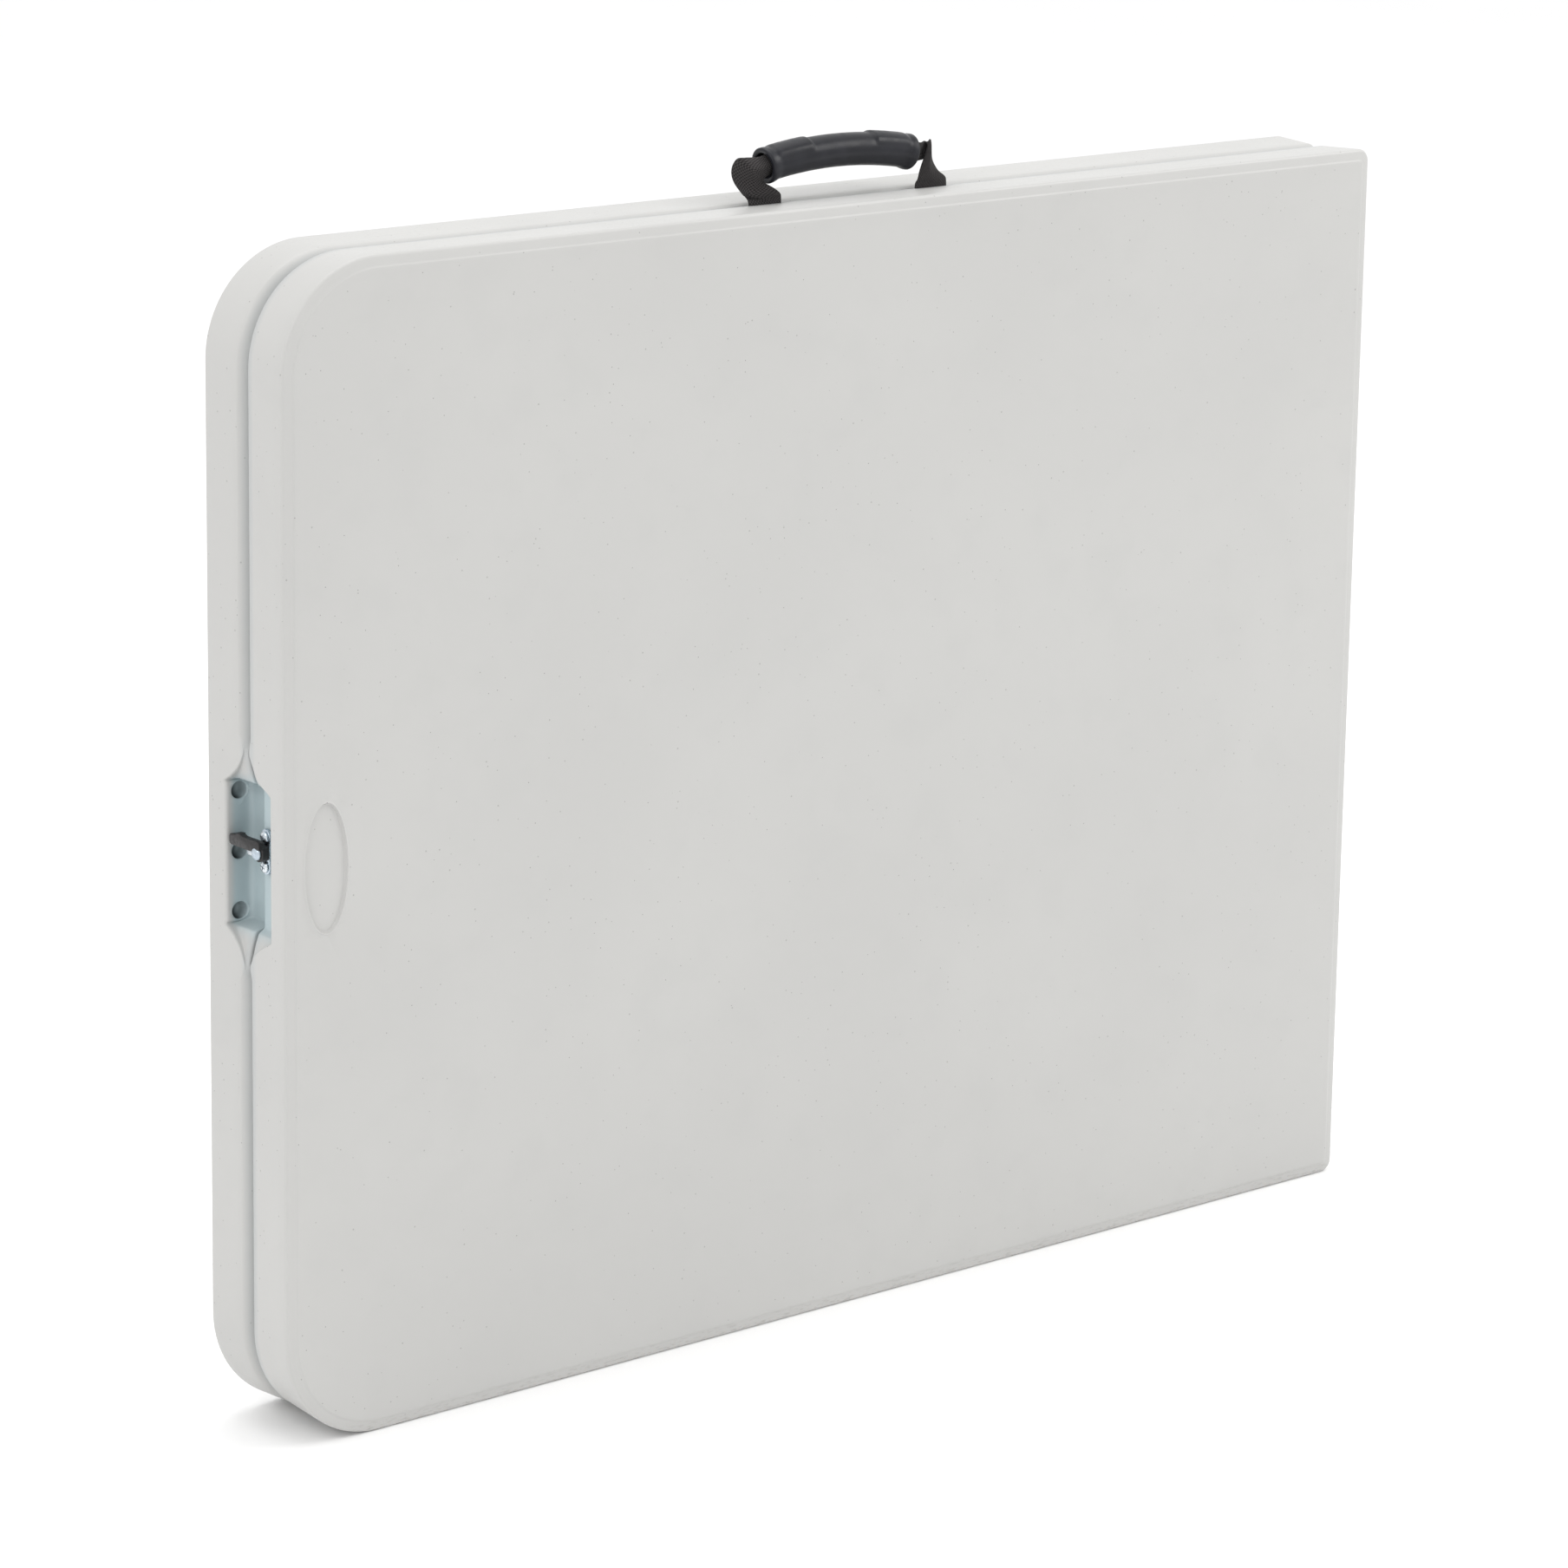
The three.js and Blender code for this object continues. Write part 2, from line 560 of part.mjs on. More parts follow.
// The lever: an eye on the boss, an arm that reaches across the parting line with a thumb hump, and a tab.
function latchLever() {
  const { y, z, armEnd } = LATCH;
  const arm = new THREE.Shape();
  arm.moveTo(y - 4, z - 1);
  arm.lineTo(y + 6, z + 0.3);
  arm.lineTo(armEnd, z + 0.3);
  arm.lineTo(armEnd, z + 7.3);
  arm.lineTo(13, z + 7.7);
  arm.lineTo(10, z + 9.3);
  arm.lineTo(6, z + 8.1);
  arm.lineTo(y + 4, z + 7.4);
  arm.lineTo(y - 4, z + 4.5);
  const front = LATCH_X + LATCH.armFront;
  const back = LATCH_X + LATCH.armBack;
  const eyeFront = LATCH_X + RIVET_HEAD.brim + GAP;
  const tab = rectangle(LATCH.tabStart, armEnd, z + 0.4, z + 7.1);
  const headRoom = disc(y, z, RIVET_HEAD.radius + GAP);
  const hole = disc(y, z, LATCH.boss + GAP);
  const smooth = { curveSegments: 8 };
  let solid = toSolid(alongX(arm, front, back));
  solid = solid.add(toSolid(alongX(tab, back - 1, LATCH_X + LATCH.tabReach)));
  solid = solid.subtract(toSolid(alongX(headRoom, front - 1, eyeFront, smooth)));
  solid = solid.add(toSolid(alongX(disc(y, z, LATCH.eye), eyeFront, BRACKET_FACE - GAP, smooth)));
  return toGeometry(solid.subtract(toSolid(alongX(hole, eyeFront - 1, BRACKET_FACE, smooth))));
}

function latchRivet() {
  const tip = LATCH_X + RIVET_HEAD.tip;
  const brim = LATCH_X + RIVET_HEAD.brim;
  const profile = [
    [tip, 0],
    [tip, 2.6],
    [brim - 1.4, RIVET_HEAD.radius - 0.6],
    [brim - 0.5, RIVET_HEAD.radius],
    [brim, RIVET_HEAD.radius],
    [brim, 0],
  ];
  return turnedAlongX(profile, LATCH.y, LATCH.z, 18);
}

function keeperPin() {
  const base = LATCH_X + RECESS.depth - GAP;
  const tip = LATCH_X + KEEPER.tip;
  const profile = [
    [tip, 0],
    [tip, KEEPER.head - 1],
    [tip + 1, KEEPER.head],
    [tip + 2.4, KEEPER.head],
    [tip + 2.4, KEEPER.radius],
    [base, KEEPER.radius],
    [base, 0],
  ];
  return turnedAlongX(profile, KEEPER.y, KEEPER.z, 16);
}

function latchScrew(step) {
  const profile = [
    [BRACKET_FACE - 2.2, 0],
    [BRACKET_FACE - 2.2, 2],
    [BRACKET_FACE - 1.2, 3.6],
    [BRACKET_FACE - 0.1, 3.6],
    [BRACKET_FACE - 0.1, 1.7],
    [BRACKET_FACE + 5.5, 1.7],
    [BRACKET_FACE + 6.5, 0],
  ];
  return turnedAlongX(profile, LATCH.y, LATCH.z + step * LATCH.screwOffset, 14);
}

// ---- carrying handle ----
const GRIP_ARC = (HANDLE.half ** 2 + HANDLE.sag ** 2) / (2 * HANDLE.sag);

class GripArc extends THREE.Curve {
  constructor(from, to) {
    super();
    this.from = from;
    this.to = to;
  }

  getPoint(t, target = new THREE.Vector3()) {
    const along = this.from + (this.to - this.from) * t;
    const turn = along / GRIP_ARC;
    const drop = GRIP_ARC * (1 - Math.cos(turn));
    return target.set(HANDLE.x + GRIP_ARC * Math.sin(turn), 0, WIDTH + HANDLE.rise - drop);
  }
}

function alongGrip(section, from, to, steps, curveSegments) {
  const extrudePath = new GripArc(from, to);
  return new THREE.ExtrudeGeometry(section, { steps, curveSegments, extrudePath });
}

function handleGrip() {
  const { half, radius, bore, collar, collarLength } = HANDLE;
  let solid = toSolid(alongGrip(ring(0, 0, radius, bore), -half, half, 14, 9));
  for (const at of [-half + 0.7, half - 0.7 - collarLength]) {
    const sleeve = ring(0, 0, collar, (radius + bore) / 2);
    solid = solid.add(toSolid(alongGrip(sleeve, at, at + collarLength, 3, 9)));
  }
  return toGeometry(solid);
}

function handleBand() {
  return alongGrip(rectangle(-3, 3, -7, 7, 2), -HANDLE.half, HANDLE.half, 12, 2);
}

// Webbing from the end of the grip, folded over and flared down to the top edge.
function handleLeg(points) {
  const shape = new THREE.Shape();
  points.forEach(([x, z], i) => (i === 0 ? shape.moveTo(x, WIDTH + z) : shape.lineTo(x, WIDTH + z)));
  return alongY(shape, -STRAP.thick / 2, STRAP.thick / 2);
}

function leftLeg() {
  const end = HANDLE.x - HANDLE.half - 1;
  const base = STRAP.left;
  const foot = -GAP;
  return handleLeg([
    [base - STRAP.half, foot],
    [base + STRAP.half, foot],
    [end - 2, 14],
    [end, 18],
    [end, 27],
    [end - 17, 27],
  ]);
}

function rightLeg() {
  const end = HANDLE.x + HANDLE.half + 1;
  const base = STRAP.right;
  const foot = -GAP;
  return handleLeg([
    [base - STRAP.half, foot],
    [base + STRAP.half, foot],
    [end + 14, 27],
    [end, 27],
    [end, 17],
  ]);
}

function strapAnchor(x) {
  const top = WIDTH - 1.7;
  const shape = rectangle(x - STRAP.half, x + STRAP.half, WIDTH - STRAP.anchor, top);
  return alongY(shape, -STRAP.thick / 2, STRAP.thick / 2);
}

// ---- assembly ----
const table = new THREE.Group();

function place(name, geometry, material) {
  const mesh = new THREE.Mesh(geometry, material());
  mesh.name = name;
  table.add(mesh);
}

for (const [half, side] of [['rear', 1], ['front', -1]]) {
  place(`${half}_top`, tabletop(side), resin);
  place(`${half}_leg_axle`, legAxle(side), powderCoat);
  place(`${half}_leg_crossbar`, legCrossbar(side), powderCoat);
  place(`${half}_brace_short_link`, shortLink(side), zinc);
  place(`${half}_brace_long_link`, longLink(side), zinc);
  place(`${half}_brace_panel_lug`, panelLug(side), zinc);
  place(`${half}_brace_leg_lug`, legLug(side), powderCoat);
  place(`${half}_brace_panel_pin`, bracePin(PANEL_PIN_X, side, BRACE.layer, 3 * BRACE.layer - 0.1), zinc);
  place(`${half}_brace_leg_pin`, bracePin(LEG_PIN_X, side, BRACE.thick, -BRACE.layer - 0.3), zinc);
  for (const [at, level] of [['upper', 1], ['lower', -1]]) {
    place(`${half}_${at}_rail`, sideRail(side, level), powderCoat);
    place(`${half}_${at}_hinge_leaf`, hingeLeaf(side, level), zinc);
    place(`${half}_${at}_pivot_plate`, pivotPlate(side, level), zinc);
    place(`${half}_${at}_leg_tube`, legTube(side, level), powderCoat);
    place(`${half}_${at}_leg_extension`, legExtension(side, level), powderCoat);
    place(`${half}_${at}_foot_cap`, footCap(side, level), darkCap);
  }
}
place('upper_hinge_pin', hingePin(1), zinc);
place('lower_hinge_pin', hingePin(-1), zinc);
place('latch_bracket', latchBracket(), zinc);
place('latch_lever', latchLever(), blackPlastic);
place('latch_rivet', latchRivet(), zinc);
place('latch_keeper_pin', keeperPin(), zinc);
place('latch_lower_screw', latchScrew(-1), zinc);
place('latch_upper_screw', latchScrew(1), zinc);
place('handle_grip', handleGrip(), gripRubber);
place('handle_band', handleBand(), webbing);
place('handle_left_leg', leftLeg(), webbing);
place('handle_right_leg', rightLeg(), webbing);
place('left_strap_anchor', strapAnchor(STRAP.left), webbing);
place('right_strap_anchor', strapAnchor(STRAP.right), webbing);

export default table;
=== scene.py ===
"""Looks for a fold-in-half utility table, folded shut and standing on one long edge.

Metres, +Z up, in the frame of the CAD part: X runs from the rounded latch end to the fold,
Y from the front half to the rear half, and Y = 0 is the plane where the halves meet.
Sections are written in millimetres for one half and mirrored for the other.
"""

import math
import random

import bmesh
import bpy
import numpy as np
from mathutils import Matrix, Vector
from mathutils.geometry import delaunay_2d_cdt


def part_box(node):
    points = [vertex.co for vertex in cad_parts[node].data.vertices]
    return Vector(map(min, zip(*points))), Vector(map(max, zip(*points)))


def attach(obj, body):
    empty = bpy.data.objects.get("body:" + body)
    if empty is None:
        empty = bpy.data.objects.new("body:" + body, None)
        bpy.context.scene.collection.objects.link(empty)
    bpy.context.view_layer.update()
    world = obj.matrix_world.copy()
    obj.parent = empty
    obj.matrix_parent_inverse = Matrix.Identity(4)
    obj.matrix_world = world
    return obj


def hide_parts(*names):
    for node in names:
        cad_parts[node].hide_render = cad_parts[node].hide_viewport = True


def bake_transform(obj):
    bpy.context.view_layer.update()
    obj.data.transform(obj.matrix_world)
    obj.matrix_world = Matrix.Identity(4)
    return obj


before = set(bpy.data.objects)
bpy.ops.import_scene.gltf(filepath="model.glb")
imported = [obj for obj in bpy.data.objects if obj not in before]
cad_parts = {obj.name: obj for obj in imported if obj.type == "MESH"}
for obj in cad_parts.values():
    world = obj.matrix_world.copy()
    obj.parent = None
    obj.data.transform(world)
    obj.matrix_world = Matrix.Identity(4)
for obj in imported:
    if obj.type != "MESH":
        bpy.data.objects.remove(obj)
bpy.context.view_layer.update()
MM = 0.001

# ---- sizes from the frame ----
top_low, top_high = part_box("rear_top")
LATCH_X = top_low.x / MM
FOLD_X = top_high.x / MM
WIDTH = top_high.z / MM
FACE_Y = top_high.y / MM
RIM_Y = top_low.y / MM
lever_low, lever_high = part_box("latch_lever")
rivet_low, rivet_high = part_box("latch_rivet")
grip_low, grip_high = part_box("handle_grip")

# ---- the moulded halves, in millimetres ----
BIG_CORNER = 70
SMALL_CORNER = 9
SHOULDER = 7.5
CREASE = 2.2
DRAFT = 1.9
# Each half's rim: its level, and how far its easing reaches inwards and up.
RIMS = {1: (RIM_Y + 1.5, 9, 7.5), -1: (RIM_Y + 0.5, 2.2, 2.2)}
RIM_END = 26.5
TRAY_INSET = 32
TRAY_Y = 29.5
RECESS_Z = (328, 419)
RECESS_DEPTH = 20
RECESS_FLOOR = 23
SCOOP_Z = (327, 418.5)
SCOOP_DEPTH = 11.5
SCOOP_FLOOR = 26
HOLE = {"inset": 11, "radius": 5.7, "pitch": 38.5, "deep": 9}
OVAL = {"inset": 30, "z": 373.5, "half_x": 15.3, "half_z": 41, "deep": 1.6}
STRAPS = (-57, 84.5)
STRAP_HALF = 13.5
STRAP_THICK = 1.5
FOLD_MARGIN = 60
SHEET_PITCH = 17
SHELL_SHARP = 42


def box_mm(node):
    return tuple(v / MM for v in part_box(node))


# ---- mesh helpers ----
def link(name, verts, faces, smooth=35):
    mesh = bpy.data.meshes.new(name)
    mesh.from_pydata([Vector(v) * MM for v in verts], [], faces)
    return finish_mesh(name, mesh, smooth)


def finish_mesh(name, mesh, smooth=35):
    work = bmesh.new()
    work.from_mesh(mesh)
    bmesh.ops.remove_doubles(work, verts=work.verts, dist=0.002 * MM)
    bmesh.ops.dissolve_degenerate(work, edges=work.edges, dist=0.001 * MM)
    loose = [v for v in work.verts if not v.link_faces]
    bmesh.ops.delete(work, geom=loose, context="VERTS")
    bmesh.ops.recalc_face_normals(work, faces=work.faces)
    work.to_mesh(mesh)
    work.free()
    mesh.shade_smooth()
    mesh.set_sharp_from_angle(angle=math.radians(smooth))
    obj = bpy.data.objects.new(name, mesh)
    bpy.context.scene.collection.objects.link(obj)
    return obj


def loft(name, rings, close=False, caps=True, smooth=35):
    """A skin over closed rings with equally many points. close joins the last ring to the first."""
    count = len(rings[0])
    verts = [p for ring in rings for p in ring]
    faces = []
    for i in range(len(rings) if close else len(rings) - 1):
        a = i * count
        b = (i + 1) % len(rings) * count
        faces += [(a + j, a + (j + 1) % count, b + (j + 1) % count, b + j) for j in range(count)]
    if caps and not close:
        faces.append(tuple(range(count)))
        faces.append(tuple(range(len(verts) - count, len(verts))))
    return link(name, verts, faces, smooth)


def rounded(points, radii, steps=4):
    """The points of a polyline with its inner corners rounded; each corner becomes steps + 1 points."""
    out = [np.array(points[0], float)]
    for before, corner, after, radius in zip(points, points[1:], points[2:], radii):
        before, corner, after = (np.array(p, float) for p in (before, corner, after))
        a, b = before - corner, after - corner
        la, lb = np.linalg.norm(a), np.linalg.norm(b)
        reach = min(radius, 0.48 * la, 0.48 * lb)
        start, end = corner + a / max(la, 1e-9) * reach, corner + b / max(lb, 1e-9) * reach
        for k in range(steps + 1):
            t = k / steps
            out.append((1 - t) ** 2 * start + 2 * t * (1 - t) * corner + t * t * end)
    out.append(np.array(points[-1], float))
    return out


def lathe(name, axis, centre, profile, segments=48, close=False):
    """Turned about a line along axis through centre, from (position along it, radius) pairs."""
    along = "xyz".index(axis)
    u, v = (along + 1) % 3, (along + 2) % 3
    rings = []
    for position, radius in profile:
        ring = []
        for k in range(segments):
            turn = 2 * math.pi * k / segments
            point = list(centre)
            point[along] = position
            point[u] += radius * math.cos(turn)
            point[v] += radius * math.sin(turn)
            ring.append(point)
        rings.append(ring)
    return loft(name, rings, close=close, caps=False)


def plate(name, outline, low, high, edge):
    """A (y, z) outline thickened along X, with its edges rounded over by edge."""
    outline = [np.array(p, float) for p in outline]
    turned = -1 if runs_clockwise(outline) else 1
    normals = []
    for i, point in enumerate(outline):
        a = point - outline[i - 1]
        b = outline[(i + 1) % len(outline)] - point
        n = np.array([a[1], -a[0]]) / (np.linalg.norm(a) + 1e-9)
        n = n + np.array([b[1], -b[0]]) / (np.linalg.norm(b) + 1e-9)
        normals.append(turned * n / (np.linalg.norm(n) + 1e-9))
    levels = [(low, edge), (low + 0.3 * edge, 0.3 * edge), (low + edge, 0),
              (high - edge, 0), (high - 0.3 * edge, 0.3 * edge), (high, edge)]
    rings = [[(depth, *(point - normal * inset)) for point, normal in zip(outline, normals)]
             for depth, inset in levels]
    return loft(name, rings)


def runs_clockwise(outline):
    area = sum(a[0] * b[1] - b[0] * a[1] for a, b in zip(outline, outline[1:] + outline[:1]))
    return area < 0


def cut(obj, cutters, sharp=35):
    """Takes the cutters out of obj, and shades what is left."""
    for cutter in cutters:
        step = obj.modifiers.new("cut", "BOOLEAN")
        step.operation = "DIFFERENCE"
        step.solver = "EXACT"
        step.object = cutter
    bpy.context.view_layer.update()
    graph = bpy.context.evaluated_depsgraph_get()
    mesh = bpy.data.meshes.new_from_object(obj.evaluated_get(graph))
    obj.modifiers.clear()
    obj.data = mesh
    for cutter in cutters:
        bpy.data.objects.remove(cutter)
    mesh.shade_smooth()
    mesh.set_sharp_from_angle(angle=math.radians(sharp))


def soften(node, material, edge=0.35):
    """Dresses a CAD node that is shown as it is, and rounds its edges."""
    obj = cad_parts[node]
    obj.data.materials.clear()
    obj.data.materials.append(material)
    weld_step = obj.modifiers.new("weld", "WELD")
    weld_step.merge_threshold = 0.005 * MM
    bevel = obj.modifiers.new("bevel", "BEVEL")
    bevel.width = edge * MM
    bevel.segments = 2
    bevel.limit_method = "ANGLE"
    bevel.angle_limit = math.radians(40)


# ---- materials ----
class Finish:
    """A procedural material: base colour with clouding and flecks, rough patches and a fine bump."""

    def __init__(self, name, colour, roughness, metallic=0.0):
        self.material = bpy.data.materials.new(name)
        self.material.use_nodes = True
        self.tree = self.material.node_tree
        self.shader = self.tree.nodes["Principled BSDF"]
        self.shader.inputs["Metallic"].default_value = metallic
        self.coordinates = self.node("ShaderNodeTexCoord").outputs["Object"]
        self.colour = (*colour, 1)
        self.rough = roughness
        self.bumps = None

    def node(self, kind, **settings):
        made = self.tree.nodes.new(kind)
        for key, setting in settings.items():
            setattr(made, key, setting)
        return made

    def wire(self, source, target):
        """Links another node's output, or sets a constant on the socket itself."""
        if isinstance(source, bpy.types.NodeSocket):
            self.tree.links.new(source, target)
        else:
            target.default_value = source

    def noise(self, size, detail=3.0, stretch=None, distortion=0.0):
        """Noise whose features are about size millimetres across."""
        made = self.node("ShaderNodeTexNoise")
        made.inputs["Scale"].default_value = 1000 / size
        made.inputs["Detail"].default_value = detail
        made.inputs["Distortion"].default_value = distortion
        source = self.coordinates
        if stretch:
            mapping = self.node("ShaderNodeMapping")
            mapping.inputs["Scale"].default_value = stretch
            self.wire(source, mapping.inputs["Vector"])
            source = mapping.outputs["Vector"]
        self.wire(source, made.inputs["Vector"])
        return made.outputs["Fac"]

    def ramp(self, source, low, high, to_low=0.0, to_high=1.0):
        made = self.node("ShaderNodeMapRange")
        made.interpolation_type = "SMOOTHSTEP"
        for key, number in zip(("From Min", "From Max", "To Min", "To Max"), (low, high, to_low, to_high)):
            made.inputs[key].default_value = number
        self.wire(source, made.inputs["Value"])
        return made.outputs["Result"]

    def patches(self, size, detail, low, high, stretch=None, distortion=0.0):
        """Soft-edged patches of noise: 0 where it is below low, 1 where it is above high."""
        return self.ramp(self.noise(size, detail, stretch, distortion), low, high)

    def math(self, operation, a, b):
        made = self.node("ShaderNodeMath", operation=operation)
        self.wire(a, made.inputs[0])
        self.wire(b, made.inputs[1])
        return made.outputs[0]

    def tint(self, mask, colour, amount=1.0):
        """Moves the colour towards another where mask is 1."""
        made = self.node("ShaderNodeMix", data_type="RGBA")
        factor = self.math("MULTIPLY", mask, amount)
        self.wire(factor, made.inputs["Factor"])
        self.wire(self.colour, made.inputs[6])
        made.inputs[7].default_value = (*colour, 1)
        self.colour = made.outputs[2]

    def roughen(self, mask, amount):
        self.rough = self.math("ADD", self.rough, self.math("MULTIPLY", mask, amount))

    def bump(self, height, depth, strength=1.0):
        """A bump of depth millimetres."""
        made = self.node("ShaderNodeBump")
        made.inputs["Distance"].default_value = depth * MM
        made.inputs["Strength"].default_value = strength
        self.wire(height, made.inputs["Height"])
        if self.bumps is not None:
            self.wire(self.bumps, made.inputs["Normal"])
        self.bumps = made.outputs["Normal"]

    def axis(self, name):
        made = self.node("ShaderNodeSeparateXYZ")
        self.wire(self.coordinates, made.inputs[0])
        return made.outputs[name]

    def done(self, **settings):
        self.wire(self.colour, self.shader.inputs["Base Color"])
        self.wire(self.rough, self.shader.inputs["Roughness"])
        if self.bumps is not None:
            self.wire(self.bumps, self.shader.inputs["Normal"])
        for name, number in settings.items():
            self.shader.inputs[name.replace("_", " ")].default_value = number
        return self.material


def fleck_mask(finish, cell, radius, share):
    """Round flecks of one radius, in millimetres, in that share of cells."""
    cells = finish.node("ShaderNodeTexVoronoi")
    cells.inputs["Scale"].default_value = 1000 / cell
    finish.wire(finish.coordinates, cells.inputs["Vector"])
    near = finish.ramp(cells.outputs["Distance"], radius * 0.5 / cell, radius / cell, 1, 0)
    split = finish.node("ShaderNodeSeparateColor")
    finish.wire(cells.outputs["Color"], split.inputs[0])
    chosen = finish.math("LESS_THAN", split.outputs[0], share)
    return finish.math("MULTIPLY", near, chosen)


def pocket_shade_mask(finish):
    """1 in the latch pocket, where the resin is given painted shade."""
    depth = finish.ramp(finish.axis("X"), (LATCH_X + 3) * MM, (LATCH_X + 9) * MM)
    end = finish.ramp(finish.axis("X"), (LATCH_X + 21.5) * MM, (LATCH_X + 22) * MM, 1, 0)
    low = finish.ramp(finish.axis("Z"), (RECESS_Z[0] - 12) * MM, (RECESS_Z[0] + 4) * MM)
    high = finish.ramp(finish.axis("Z"), (RECESS_Z[1] - 4) * MM, (RECESS_Z[1] + 14) * MM, 1, 0)
    across = finish.ramp(finish.math("ABSOLUTE", finish.axis("Y"), 0), 0.038, 0.039, 1, 0)
    mask = finish.math("MULTIPLY", depth, end)
    for edge in (low, high, across):
        mask = finish.math("MULTIPLY", mask, edge)
    return mask


def resin_finish():
    finish = Finish("blow_moulded_resin", (0.472, 0.47, 0.459), 0.37)
    finish.tint(finish.patches(190, 2, 0.35, 0.7), (0.5, 0.498, 0.485), 0.5)
    finish.tint(finish.patches(34, 4, 0.45, 0.75), (0.45, 0.45, 0.44), 0.3)
    finish.tint(fleck_mask(finish, 6.8, 0.5, 0.8), (0.13, 0.125, 0.12), 0.66)
    finish.tint(fleck_mask(finish, 9.4, 0.75, 0.35), (0.19, 0.185, 0.175), 0.5)
    # painted shade: the resin is tinted darker and bluish within a few millimetres of the parting groove
    # between the halves
    groove_shade = finish.ramp(finish.math("ABSOLUTE", finish.axis("Y"), 0), 0.004, 0.0095, 1, 0)
    finish.tint(groove_shade, (0.36, 0.39, 0.4), 0.4)
    # painted shade: the latch pocket is tinted darker and bluish, as if it lay in shade
    pocket = pocket_shade_mask(finish)
    finish.tint(pocket, (0.36, 0.46, 0.49), 0.8)
    # painted shade: the cups in the pocket floor are tinted near black, darkest on their side towards the
    # latch end
    cups = finish.ramp(finish.axis("Y"), (RECESS_FLOOR + 0.4) * MM, (RECESS_FLOOR + 2.5) * MM)
    middle_x = LATCH_X + HOLE["inset"]
    painted_cup_shade = finish.ramp(finish.axis("X"), (middle_x - 1) * MM, (middle_x + 4) * MM, 1, 0.1)
    painted_cup_shade = finish.math("MULTIPLY", finish.math("MULTIPLY", pocket, cups), painted_cup_shade)
    finish.tint(painted_cup_shade, (0.014, 0.012, 0.01), 0.98)
    low_edge = finish.ramp(finish.axis("Z"), 0.0, 0.012, 1, 0)
    scuffs = finish.patches(5, 5, 0.5, 0.68, (1, 1, 5))
    finish.tint(finish.math("MULTIPLY", low_edge, scuffs), (0.28, 0.27, 0.255), 0.5)
    finish.roughen(finish.patches(60, 3, 0.35, 0.7), 0.07)
    finish.roughen(finish.patches(2.2, 2, 0.4, 0.7), 0.05)
    scratches = finish.patches(1.6, 2, 0.66, 0.74, (0.02, 1, 1), 0.4)
    finish.roughen(scratches, 0.08)
    finish.bump(finish.noise(46, 2), 0.22)
    finish.bump(finish.noise(1.1, 3), 0.012)
    return finish.done(Specular_IOR_Level=0.5)


def plain_finish(name, colour, roughness, metallic, tints, roughs, bumps, **settings):
    """A finish of tinted patches, rough patches and bumps, each with its noise and its amount."""
    finish = Finish(name, colour, roughness, metallic)
    for noise, patch_colour, amount in tints:
        finish.tint(finish.patches(*noise), patch_colour, amount)
    for noise, amount in roughs:
        finish.roughen(finish.patches(*noise), amount)
    for noise, depth in bumps:
        finish.bump(finish.noise(*noise), depth)
    return finish.done(**settings)


def zinc_finish(name, colour):
    return plain_finish(
        name, colour, 0.24, 1.0,
        [((5, 4, 0.4, 0.68), (0.34, 0.42, 0.5), 0.5), ((1.4, 3, 0.62, 0.7), (0.62, 0.6, 0.54), 0.35)],
        [((3, 3, 0.4, 0.7), 0.16)], [((0.9, 3, (0.25, 1, 1)), 0.02)])


def webbing_finish():
    """Plain-woven strap: warp and weft yarns follow the strap's own length and width."""
    finish = Finish("woven_webbing", (0.012, 0.011, 0.0115), 0.86)
    layout = finish.node("ShaderNodeUVMap", uv_map="strap").outputs["UV"]
    split = finish.node("ShaderNodeSeparateXYZ")
    finish.wire(layout, split.inputs[0])
    yarn = math.pi / (1.1 * MM)
    across = finish.math("SINE", finish.math("MULTIPLY", split.outputs["X"], yarn), 0)
    along = finish.math("SINE", finish.math("MULTIPLY", split.outputs["Y"], yarn), 0)
    weave = finish.ramp(finish.math("MULTIPLY", across, along), -0.8, 0.8)
    finish.tint(weave, (0.075, 0.069, 0.069), 0.75)
    finish.tint(finish.patches(0.8, 3, 0.55, 0.7), (0.07, 0.064, 0.064), 0.5)
    finish.roughen(finish.patches(4, 3, 0.4, 0.7), 0.08)
    finish.bump(weave, 0.28)
    finish.bump(finish.noise(0.4, 2), 0.08)
    return finish.done(Sheen_Weight=0.05, Sheen_Roughness=0.5, Specular_IOR_Level=0.2)


resin = resin_finish()
powder = plain_finish(
    "powder_coat", (0.27, 0.28, 0.29), 0.42, 0.1,
    [((18, 3, 0.4, 0.7), (0.32, 0.33, 0.34), 0.4), ((2.6, 4, 0.7, 0.73), (0.14, 0.13, 0.12), 0.5)],
    [((12, 3, 0.4, 0.7), 0.1)], [((0.7, 2), 0.03)], Coat_Weight=0.25, Coat_Roughness=0.3)
weld = plain_finish(
    "weld_bead", (0.24, 0.25, 0.26), 0.5, 0.25,
    [((3, 3, 0.4, 0.65), (0.16, 0.16, 0.16), 0.5)], [], [((1.8, 2), 0.25)])
zinc = zinc_finish("zinc_plate", (0.5, 0.57, 0.63))
bright_zinc = zinc_finish("rivet_steel", (0.66, 0.7, 0.73))
latch_plastic = plain_finish(
    "latch_plastic", (0.009, 0.008, 0.0085), 0.4, 0.0,
    [((3, 4, 0.5, 0.75), (0.02, 0.018, 0.018), 0.5)], [((2, 3, 0.4, 0.7), 0.15)], [((0.35, 2), 0.02)])
grip_plastic = plain_finish(
    "grip_plastic", (0.011, 0.0115, 0.015), 0.3, 0.0,
    [((14, 3, 0.4, 0.7), (0.019, 0.02, 0.026), 0.6), ((0.6, 2, 0.62, 0.72), (0.045, 0.045, 0.052), 0.35)],
    [((7, 3, 0.4, 0.7), 0.12)], [((0.55, 2), 0.035)], Specular_IOR_Level=0.24)
webbing = webbing_finish()
